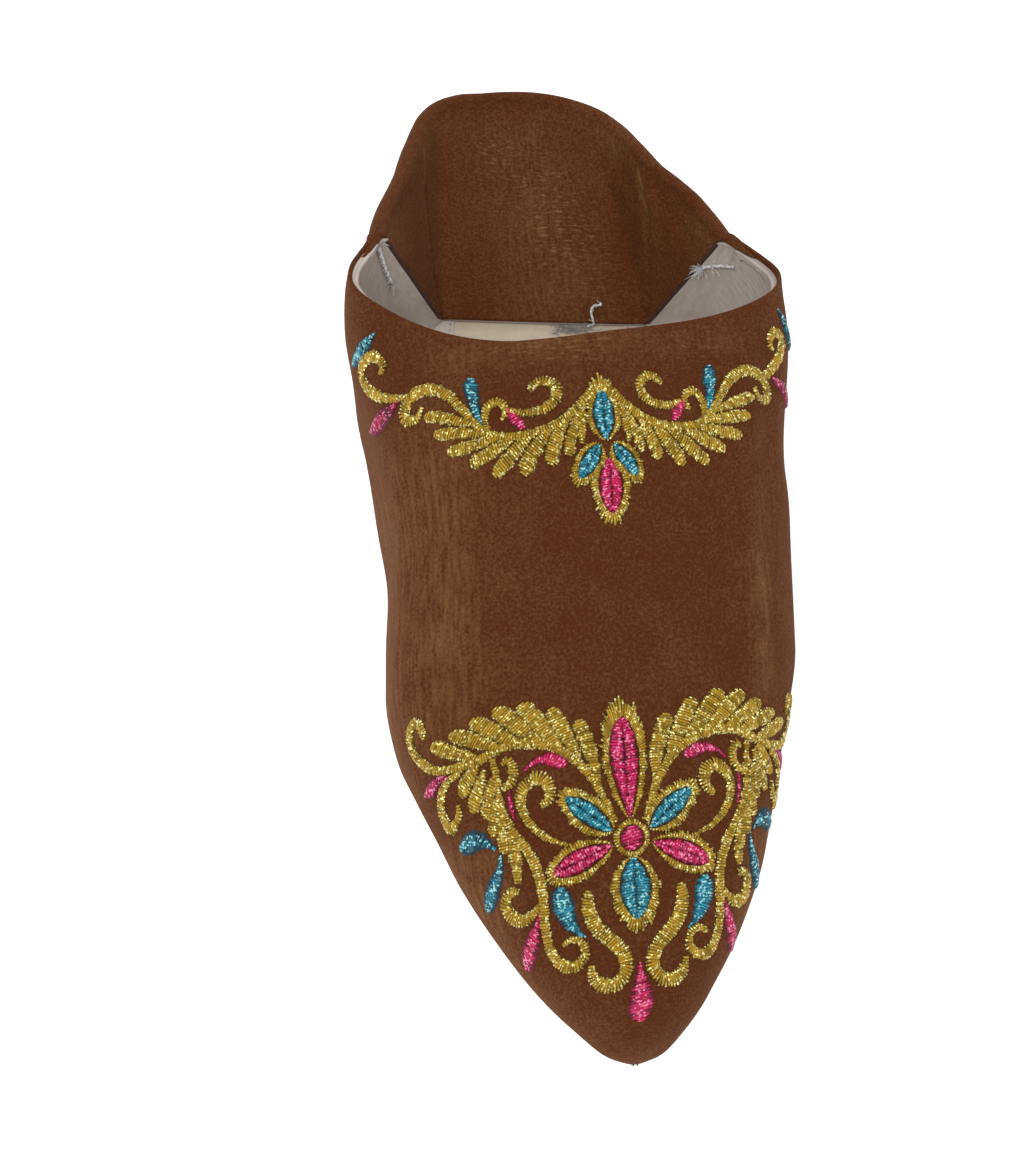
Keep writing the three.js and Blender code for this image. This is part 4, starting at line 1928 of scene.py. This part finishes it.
GOLD_RUNS = (
    Run((
        (0.9, 114.4, 1.2), (3.8, 118.2, 2), (7.5, 121.7, 2.3), (12, 124.3, 2.3), (17, 125.4, 2.3),
        (22, 125.2, 2.3), (26, 123.8, 2.2), (29, 120.6, 2.2), (31.5, 116.9, 2.3), (34.5, 113.2, 2.6),
        (38, 111.1, 2.9), (41.7, 110.7, 3), (45.2, 112.2, 3.2), (46.2, 114.9, 3.1), (44, 116.6, 2.4),
        (41.7, 115.9, 1.8), (40.8, 114.3, 1.3),
    )),
    Run((
        (25.6, 124, 1.6), (26.3, 121.3, 2), (25.6, 118.3, 2.2), (23.4, 116.9, 2.2), (21.6, 118, 2),
        (21.4, 119.8, 1.7), (22.6, 121.2, 1.3),
    )),
    Run((
        (20.4, 119.3, 1.4), (17, 120.4, 1.9), (13.2, 120, 2.3), (10.4, 117.9, 2.6), (9.9, 115.2, 2.7),
        (11.7, 113.6, 2.5), (14.2, 113.8, 2), (15.8, 115.4, 1.6),
    )),
    Run(((4.2, 121.3, 1), (5.2, 125.2, 1.8), (5.6, 128.8, 1.6))),
    Run(((3.9, 119.6, 1), (6.2, 123.5, 2.4), (7.9, 127.5, 2.8), (8.8, 131.2, 2.6))),
    Run(((7.8, 122.2, 1.2), (10.2, 125.6, 2.9), (12, 129.6, 3.5), (13, 132.9, 3.3))),
    Run(((11.8, 124.4, 1.3), (14.6, 127.5, 3.1), (17.2, 131, 3.8), (19.2, 134.3, 3.6))),
    Run(((16, 125.6, 1.3), (19.2, 128, 3.1), (22.4, 130.9, 3.6), (25.7, 133.6, 3.3))),
    Run(((19.8, 125.7, 1.3), (23.4, 127.2, 2.9), (27, 128.8, 3.5), (30.6, 130, 3.3))),
    Run(((23.4, 125.2, 1.2), (27.4, 125.7, 2.6), (31.4, 126.1, 3.1), (35.5, 126.3, 2.8))),
    Run(((25.8, 124, 1.1), (29.8, 123.1, 2.5), (34, 122.2, 3), (38.3, 121.3, 2.8))),
    Run(((28.3, 121.6, 1), (32, 120, 2.4), (36, 118.2, 2.9), (40.2, 116.6, 2.6))),
    Run((
        (-46.5, 110.6, 1.4), (-49.2, 110, 1.9), (-52.4, 108.6, 2.3), (-57, 105.6, 2.8), (-60.4, 101.9, 3.2),
        (-61, 98.9, 3.2), (-57.6, 97.6, 3), (-54, 98.2, 2.7), (-51.8, 100, 2.4), (-51.4, 102.2, 2),
        (-53, 102.8, 1.4),
    ), Ends.LAST, False),
    Run((
        (41.5, 111.9, 1.3), (43.6, 111, 1.8), (46.7, 108.6, 2.4), (49.3, 105.6, 2.8), (51, 102.6, 3),
        (51.4, 100, 3), (49.3, 98.9, 2.8), (47.2, 100.5, 2.2), (46.7, 102.7, 1.8), (47.9, 103.6, 1.3),
    ), Ends.LAST, False),
    Run((
        (3.4, 213.6, 1.4), (5.4, 208.6, 1.9), (8, 203.6, 2.2), (11.5, 199.2, 2.3), (16, 196.2, 2.3),
        (21, 194.5, 2.4), (26, 194, 2.3), (30.5, 194.9, 2.2), (34.5, 196, 2.2), (39.5, 196.3, 2.2),
        (44.5, 195.6, 2.3), (48.3, 193.4, 2.5), (51.2, 190, 2.7), (52.4, 186.6, 2.8), (51.2, 184.2, 2.6),
        (48.9, 184.3, 2.3), (47.6, 186.4, 1.8), (47.4, 188.2, 1.3),
    )),
    Run(((6.2, 207.5, 1), (7, 201.5, 2.6), (8.3, 196, 3.8), (10.3, 190.6, 4))),
    Run(((9.6, 201.8, 1.1), (11.6, 197.2, 3), (13.9, 192.4, 4), (16.6, 187.3, 3.9))),
    Run(((13.4, 198.3, 1.2), (16.6, 194.3, 3.3), (19.9, 190, 4.4), (23.8, 185.6, 4.2))),
    Run(((18.4, 195.7, 1.2), (21.9, 192.6, 3.2), (25.5, 189.2, 4.2), (29.7, 185.6, 3.8))),
    Run(((23.5, 194.5, 1.2), (27.2, 192.4, 3), (31, 189.9, 3.9), (35, 187.2, 3.6))),
    Run(((28.2, 194.4, 1.2), (32, 192.8, 2.9), (36, 190.9, 3.6), (40.2, 188.9, 3.2))),
    Run(((33.2, 195.6, 1.1), (37.2, 194.2, 2.8), (41.2, 192.2, 3.4), (45.2, 190, 3))),
    Run(((33.8, 196.8, 1.2), (35.6, 198.4, 3.2), (37.8, 200.6, 4), (39.3, 202.4, 3.6))),
    Run(((32.6, 198, 1.2), (34, 201, 3), (35.6, 204, 3.8), (36.8, 206.4, 3.4))),
    Run((
        (38.5, 197.6, 1.6), (42.3, 198.6, 2.2), (45.3, 201.4, 2.6), (46, 205.2, 2.9), (43.9, 208, 2.9),
        (41.3, 207.4, 2.3), (40.3, 205.2, 1.8), (40.2, 203.9, 1.3),
    )),
    Run((
        (30.6, 196.2, 1.6), (29.9, 201, 1.6), (29.6, 205.5, 1.6), (28.2, 210, 1.6), (25.6, 214.5, 2),
        (22.9, 219, 2.4), (21.2, 224, 2.5), (20.9, 229, 2.4), (20.9, 234, 2.4), (19.9, 239, 2.6),
        (17.2, 242.2, 2.6), (13.8, 242.4, 2.4), (11.9, 240.2, 2.2), (12.8, 237.9, 1.9), (15.2, 237, 1.6),
        (17.1, 238, 1.2),
    )),
    Run(((30.2, 199.5, 1.1), (31.6, 202.6, 2.8), (32.8, 205.8, 3.4), (33.3, 208.6, 3))),
    Run(((29.8, 203.8, 1.1), (30.6, 206.8, 2.8), (31.5, 209.8, 3.3), (31.8, 212.6, 2.8))),
    Run(((29.2, 207.8, 1.1), (29.4, 210.8, 2.7), (29.5, 213.9, 3.1), (29.1, 216.8, 2.6))),
    Run(((28, 211.5, 1.1), (27.5, 214.6, 2.5), (27.3, 217.4, 3), (27, 220, 2.6))),
    Run(((26.2, 215, 1), (26.3, 218, 2.2), (26.5, 221, 2.5), (26.5, 223.4, 1.8))),
    Run((
        (14.6, 217.3, 1), (18.2, 215.7, 1.4), (21.8, 213, 1.8), (24.2, 209.5, 2.3), (24.9, 205.9, 2.7),
        (23.3, 203, 3), (20.4, 202, 3.2), (18.3, 204, 3.2), (18.3, 206.6, 2.6), (20.3, 208.2, 1.9),
    )),
    Run((
        (28.6, 197.9, 1.2), (27.2, 197, 1.9), (26.1, 199.2, 2.3), (26.6, 201.8, 2.3), (29, 203.1, 2),
    ), Ends.FIRST),
    Run((
        (26.2, 225, 1.6), (29.2, 225.2, 2.8), (30.2, 228.1, 3.3), (27.8, 230.7, 2.9), (24.4, 230.9, 2.6),
        (21.9, 228.9, 1.6),
    ), Ends.FIRST),
    Run((
        (10.6, 227.4, 2.4), (10.9, 231.2, 3.2), (9.6, 235, 3.4), (6.7, 238.2, 3.4), (4, 240.9, 3.3),
        (2.9, 244.2, 3.3), (4.6, 247.2, 3.3), (8, 247.6, 3.2), (10.6, 245.3, 2.6), (11, 243, 1.6),
    ), Ends.FIRST),
)
TURQUOISE_RUNS = (
    Run(((26.6, 122.8, 0.5), (27.7, 119.8, 1.7), (28.4, 116.5, 2.8), (28.6, 113.5, 3.6), (28.5, 110.6, 3.2))),
    Run((
        (-51.9, 93.4, 0.6), (-54.6, 94.3, 3), (-58.6, 94.9, 4.4), (-62, 94.9, 4), (-64.6, 94.6, 2.4),
        (-66.4, 94.3, 0.8),
    ), Ends.NONE, False),
    Run((
        (51, 92.6, 0.6), (53, 94.6, 2.8), (55.6, 96.4, 3.6), (58.4, 97.6, 2.8), (61, 98.2, 0.6),
    ), Ends.NONE, False),
    Run(((41.6, 212.6, 3.4), (38, 212.4, 4.8), (34.8, 213.1, 3.4), (31.4, 215.3, 0.6)), Ends.FIRST),
    Run(((30.2, 216, 0.5), (30.6, 219, 1.8), (32, 222, 3.6), (34.2, 224.6, 4.4), (36.6, 226.4, 3.4))),
    Run((
        (16.5, 225.9, 4.2), (16.6, 229, 5.2), (15.9, 232.2, 4.2), (14.2, 235, 2.2), (11.8, 237.1, 0.5),
    ), Ends.FIRST),
)
PINK_RUNS = (
    Run(((21, 119, 1), (20, 120.6, 2.4), (18.8, 122.4, 2.6), (17.9, 124, 1.2)), Ends.NONE),
    Run((
        (-48.6, 110.9, 0.6), (-52, 111.9, 3.6), (-56.3, 112.3, 4.9), (-60.6, 112, 3.8), (-64.5, 111.2, 0.6),
    ), Ends.NONE, False),
    Run((
        (46.4, 110.3, 0.6), (49.2, 110.9, 2.8), (53, 111.3, 3.8), (57, 111.8, 3), (60.5, 112.2, 0.5),
    ), Ends.NONE, False),
    Run(((41.6, 197.6, 0.6), (44.6, 197.6, 2.9), (48, 198.6, 3.6), (51.8, 199.2, 0.8)), Ends.NONE),
    Run(((27.4, 203.6, 0.5), (27.2, 206.8, 1.2), (26.7, 210.2, 0.5)), Ends.NONE),
    Run(((24, 200.2, 0.5), (21.4, 198.7, 1.3), (18.6, 198.1, 2.4), (16, 198.8, 3.4), (13.9, 200.2, 3))),
    Run(((21.9, 230.2, 0.5), (23, 233.4, 2.2), (25, 236.4, 4.2), (27, 238.8, 4.6), (28.6, 240.6, 3.4))),
    Run(((0, 243.7, 0.5), (0, 246.6, 2.2), (0, 249.8, 5), (0, 252.6, 5.8), (0, 255.6, 4)), Ends.LAST, False),
    Run(((0, 214.7, 5.2), (0, 217.3, 5.2), (0, 219.9, 5.2)), Ends.BOTH, False),
)
TURQUOISE_PETALS = (
    Petal((0, 128.2), (0, 117.0), 2.5, Form.LEAF, 1.7, 4.2, False),
    Petal((1.6, 129.0), (6.7, 136.4), 1.9, Form.LEAF, 1.6, 2.0),
    Petal((4.2, 215.4), (14.4, 207.2), 2.3, Form.LEAF, 1.9, 2.2),
    Petal((0, 221.3), (0, 234.4), 3.5, Form.LEAF, 2.3, 2.8, False),
)
PINK_PETALS = (
    Petal((0.1, 132.2), (0.1, 144.9), 2.8, Form.LEAF, 1.9, 2.8, False),
    Petal((0, 213.2), (0, 191.2), 3.3, Form.CLUB, 2.0, 4.3, False),
    Petal((4.6, 218.4), (17.8, 222.9), 2.5, Form.EGG, 1.8, 2.0),
)


class Embroidery:
    """Satin stitches in gold, turquoise and pink, each one raised thread over the suede."""

    axis = ((95, 150, 190, 217, 236, 256, 262), (0.1, 0.5, 0.5, 0.5, -0.1, -1.0, -1.2))
    drift = ((95, 130, 150, 183, 205, 225, 262), (-1.3, -1.3, 0.0, 0.9, 0.8, 0.0, 0.0))

    def __init__(self, sheet: VampSheet, pitch: float = 0.6, half_thread: float = 0.29) -> None:
        """Starts with no stitches.

        Args:
            sheet: The vamp's skin.
            pitch: Distance between neighbouring threads.
            half_thread: Half the width of a thread.
        """
        self.sheet, self.pitch, self.half_thread = sheet, pitch, half_thread
        self.random = np.random.default_rng(SEED)

    def run_stitches(self, run: Run) -> tuple:
        """Both ends of each stitch of a run.

        Stitches stand across the path, as long as the width there; at a round end the width
        falls as a quarter circle.

        Args:
            run: The run.

        Returns:
            First ends and second ends as (across, station) pairs.
        """
        path = np.array(run.path, float)
        knots = along_path(path[:, :2])
        fine = spline(knots, path[:, :2], np.linspace(0, knots[-1], 300))
        length = along_path(fine)
        count = max(4, int(length[-1] / self.pitch))
        at = (np.arange(count) + 0.5) / count * length[-1]
        middle = np.stack([np.interp(at, length, fine[:, k]) for k in (0, 1)], -1)
        ahead = np.stack([np.interp(at, length, np.gradient(fine[:, k])) for k in (0, 1)], -1)
        ahead = unit(ahead)
        side = np.stack([-ahead[:, 1], ahead[:, 0]], -1)
        width = monotone(knots, path[:, 2], at / length[-1] * knots[-1])
        first, last = run.ends.value
        if first:
            width = width * quarter_arc(at / (width[0] / 2))
        if last:
            width = width * quarter_arc((length[-1] - at) / (width[-1] / 2))
        width = (width[:, None] * 0.5) + self.random.uniform(-0.14, 0.2, (count, 2))
        lean = ahead * (width.sum(1) * 0.1)[:, None]
        return middle - side * width[:, :1] - lean, middle + side * width[:, 1:] + lean

    def petal_parts(self, petal: Petal) -> tuple:
        """Both ends of the stitches of a petal.

        Args:
            petal: The petal.

        Returns:
            Fill stitches and border stitches, each a pair of (across, station) arrays.
        """
        root, tip = np.array(petal.root, float), np.array(petal.tip, float)
        length = float(np.hypot(*(tip - root)))
        ahead = (tip - root) / length
        side = np.array([-ahead[1], ahead[0]])
        count = int(length / self.pitch)
        t = (np.arange(count) + 0.5) / count
        vein = root + t[:, None] * (tip - root)
        half = petal.form.half(t) * petal.half_width
        fills, borders = [], []
        fine = (1 - np.cos(np.linspace(0.03, np.pi, 200))) / 2
        shape = petal.form.half(fine)
        wide = (petal.half_width + petal.border) * shape**0.85
        reach = fine * length + petal.overshoot * smooth((fine - 0.55) / 0.45)
        for sign in (-1, 1):
            jitter = self.random.uniform(-0.3, 0.2, (2, count))
            inner = vein + side * (sign * (jitter[0] - 0.15))[:, None]
            outer = vein + ahead * 0.5 + side * (sign * (half + jitter[1]))[:, None]
            fills.append((inner, outer))
            near = root + ahead * (fine * length)[:, None] + side * (sign * shape * petal.half_width)[:, None]
            far = root + ahead * reach[:, None] + side * (sign * wide)[:, None]
            path = along_path((near + far) / 2)
            many = int(path[-1] / self.pitch)
            at = (np.arange(many) + 0.5) / many * path[-1]
            near = np.stack([np.interp(at, path, near[:, k]) for k in (0, 1)], -1)
            far = np.stack([np.interp(at, path, far[:, k]) for k in (0, 1)], -1)
            borders.append((near, far + (far - near) * self.random.uniform(-0.2, 0.2, (many, 1))))
        join = [tuple(np.concatenate(ends) for ends in zip(*parts)) for parts in (fills, borders)]
        return join[0], join[1]

    def ring(self, centre: tuple, inner: float, outer: float) -> tuple:
        """Stitches that stand out from a round middle.

        Args:
            centre: The middle as (across, station).
            inner: Radius at which they start.
            outer: Radius at which they end.

        Returns:
            First ends and second ends.
        """
        angle = np.arange(0, 2 * np.pi, self.pitch / ((inner + outer) / 2))
        rays = np.stack([np.cos(angle), np.sin(angle)], -1)
        reach = outer + self.random.uniform(-0.15, 0.15, len(angle))
        return centre + rays * inner, centre + rays * reach[:, None]

    def placed(self, ends: tuple, side: int, mirrored: bool = False) -> tuple:
        """Stitches moved to one side of the embroidery's axis, as the cloth was laid.

        Args:
            ends: First ends and second ends.
            side: -1 for the left, +1 for the right.
            mirrored: True for a pattern that is sewn on both sides.

        Returns:
            First ends and second ends.
        """
        out = []
        for end in ends:
            shift = np.interp(end[:, 1], *self.axis)
            if mirrored:
                shift = shift + np.interp(end[:, 1], *self.drift) * smooth(np.abs(end[:, 0]) / 24)
            out.append(np.stack([side * end[:, 0] + shift, end[:, 1]], -1))
        return tuple(out)

    def threads(self, name: str, stitches: list, finish: Finish) -> None:
        """One mesh of raised threads.

        A thread runs from one end of its stitch to the other, on an arch of lift (1 - (2 t - 1)²)
        raised to 0.55, and is a low ridge of four points across.

        Args:
            name: Name of the piece.
            stitches: Tuples of first ends, second ends and lift.
            finish: The thread's finish.
        """
        first = np.concatenate([s[0] for s in stitches])
        second = np.concatenate([s[1] for s in stitches])
        lift = np.concatenate([np.full(len(s[0]), s[2]) for s in stitches])
        count = len(first)
        t = np.array([0, 0.12, 0.32, 0.55, 0.8, 1.0])
        arch = (1 - (2 * t - 1) ** 2) ** 0.55
        line = second - first
        long = np.hypot(*line.T)
        over = np.stack([-line[:, 1], line[:, 0]], -1) / np.maximum(long, 1e-6)[:, None]
        spots = np.array([-1, -0.5, 0.5, 1])
        round_off = np.array([-0.14, 0.12, 0.12, -0.14])
        flat = first[:, None] + line[:, None] * t[None, :, None]
        flat = flat[:, :, None] + over[:, None, None] * (spots * self.half_thread)[None, None, :, None]
        own = self.random.uniform(0, 1, count)
        # Painted shade: turquoise and pink stitches far out at the sides are made darker, as those petals
        # face away from the light.
        if finish in (Finish.TURQUOISE, Finish.PINK):
            own = own - 0.5 * smooth((np.abs(first[:, 0]) - 22) / 10)
        lift = lift * np.minimum(1, long / 1.4) * (0.85 + 0.3 * self.random.uniform(0, 1, count))
        arch = arch[None, :, None]
        height = lift[:, None, None] * arch + round_off - 0.1 * (arch < 0.01)
        places, outward = self.sheet.at(flat[..., 0], flat[..., 1])
        places = places + outward * (height + 0.05)[..., None]
        faces = grid_faces(len(t), 4)
        faces = (faces[None] + (np.arange(count) * len(t) * 4)[:, None, None]).reshape(-1, 4)
        along = np.broadcast_to(t[None, :, None], height.shape)
        own = np.broadcast_to(own[:, None, None], along.shape)
        uv = flat_uv(along * long[:, None, None], own * 50 + spots * 0.2)
        marks = {"along": along, "own": own}
        keep(add_mesh(name, places.reshape(-1, 3), faces, uv.reshape(-1, 2), marks), finish)

    def sides(self, item: Run | Petal) -> tuple:
        """The sides on which an item is sewn."""
        return (-1, 1) if item.mirrored else (1,)

    def build(self) -> None:
        """Sews the three colours."""
        gold, turquoise, pink = [], [], []
        charts = ((gold, GOLD_RUNS, 0.55), (turquoise, TURQUOISE_RUNS, 0.45), (pink, PINK_RUNS, 0.45))
        for sewn, runs, lift in charts:
            for run in runs:
                for side in self.sides(run):
                    sewn.append((*self.placed(self.run_stitches(run), side, run.mirrored), lift))
        for sewn, petals in ((turquoise, TURQUOISE_PETALS), (pink, PINK_PETALS)):
            for petal in petals:
                for side in self.sides(petal):
                    fill, border = self.petal_parts(petal)
                    sewn.append((*self.placed(fill, side, petal.mirrored), 0.5))
                    gold.append((*self.placed(border, side, petal.mirrored), 0.65))
        gold.append((*self.placed(self.ring((0, 217.3), 2.8, 4.2), 1), 0.5))
        garland = [s for s in gold if s[0][:, 1].mean() < 160]
        toe = [s for s in gold if s[0][:, 1].mean() >= 160]
        self.threads("garland_gold", garland, Finish.GOLD)
        self.threads("toe_gold", toe, Finish.GOLD)
        self.threads("turquoise_stitches", turquoise, Finish.TURQUOISE)
        self.threads("pink_stitches", pink, Finish.PINK)


# ---- studio


@dataclass
class Studio:
    """Floor, light and camera."""

    azimuth: float = 24.70
    elevation: float = 65.80
    roll: float = -18.93
    distance: float = 519.6
    focal_pixels: float = 2138.5
    picture_height: float = 1156
    sensor: float = 36.0
    target: tuple = (-18.55, -13.78, 20.0)
    floor_size: float = 6000.0
    floor_glow: float = 0.6
    air: float = 0.42
    lamps: tuple = (
        ("key_light", (-0.55, -0.35, 1.25), 0.7, 9.5),
        ("fill_light", (0.9, -0.6, 1.0), 1.2, 5.0),
        ("back_light", (0.2, 1.2, 0.9), 0.9, 4.0),
    )

    def floor(self) -> None:
        """A wide pale floor."""
        corners = np.array([[-1, -1, 0], [1, -1, 0], [1, 1, 0], [-1, 1, 0]], float) * self.floor_size
        floor = add_mesh("floor", corners - FRAME.shift, np.array([[0, 1, 2, 3]]))
        recipe = Recipe("pale_floor")
        linked = {"Roughness": 0.6 + recipe.noise(8, 3) * 0.1}
        constant = {
            "Base Color": (0.9, 0.9, 0.9, 1),
            "Specular IOR Level": 0.2,
            "Emission Color": (1, 1, 1, 1),
            "Emission Strength": self.floor_glow,
        }
        floor.data.materials.append(recipe.close(linked, constant))

    def lamp(self, name: str, place: tuple, size: float, power: float) -> None:
        """A square soft light that looks at the slipper.

        Args:
            name: Name of the lamp.
            place: Where it hangs, in metres.
            size: Side of the square in metres.
            power: Watts.
        """
        light = bpy.data.lights.new(name, "AREA")
        light.energy, light.size = power, size
        lamp = bpy.data.objects.new(name, light)
        lamp.location = place
        lamp.rotation_euler = (-Vector(place)).to_track_quat("-Z", "Y").to_euler()
        bpy.context.scene.collection.objects.link(lamp)

    def camera(self) -> None:
        """The camera at the photograph's angle to the slipper."""
        azimuth, elevation, roll = (math.radians(x) for x in (self.azimuth, self.elevation, self.roll))
        level = math.cos(elevation)
        back = np.array([-math.sin(azimuth) * level, -math.cos(azimuth) * level, math.sin(elevation)])
        right = np.array([math.cos(azimuth), -math.sin(azimuth), 0.0])
        upward = np.cross(back, right)
        turned = right * math.cos(roll) - upward * math.sin(roll)
        lifted = right * math.sin(roll) + upward * math.cos(roll)
        data = bpy.data.cameras.new("camera")
        data.sensor_width = self.sensor
        data.lens = self.focal_pixels / self.picture_height * self.sensor
        data.clip_start, data.clip_end = 0.01, 100
        camera = bpy.data.objects.new("camera", data)
        matrix = np.eye(4)
        place = (np.array(self.target) + FRAME.shift + back * self.distance) * MM
        matrix[:3] = np.stack([turned, lifted, back, place], -1)
        camera.matrix_world = Matrix(matrix.tolist())
        bpy.context.scene.collection.objects.link(camera)
        bpy.context.scene.camera = camera

    def build(self) -> None:
        """Sets the studio up."""
        self.floor()
        for lamp in self.lamps:
            self.lamp(*lamp)
        world = bpy.data.worlds.new("studio_air")
        world.use_nodes = True
        sky = world.node_tree.nodes["Background"]
        sky.inputs["Color"].default_value = (1, 1, 1, 1)
        sky.inputs["Strength"].default_value = self.air
        bpy.context.scene.world = world
        bpy.context.scene.view_settings.view_transform = "Standard"
        self.camera()


def main() -> None:
    """Builds the slipper and its studio in order."""
    logging.basicConfig(level=logging.INFO, format="%(name)s %(message)s")
    last = Last()
    FRAME.settle(last)
    LOG.info("shift %s", FRAME.shift)
    vamp, heel = VampSheet(last), HeelSheet(last)
    Sole(last).build()
    Upper(last, vamp).build()
    HeelPiece(last, heel).build()
    seams = [SideSeam(last, vamp, heel, name, side) for name, side in (("left", -1.0), ("right", 1.0))]
    for seam in seams:
        seam.build()
    LooseThreads(last, *seams).build()
    Embroidery(vamp).build()
    Studio().build()
    bpy.context.view_layer.update()


if __name__ == "__main__":
    main()
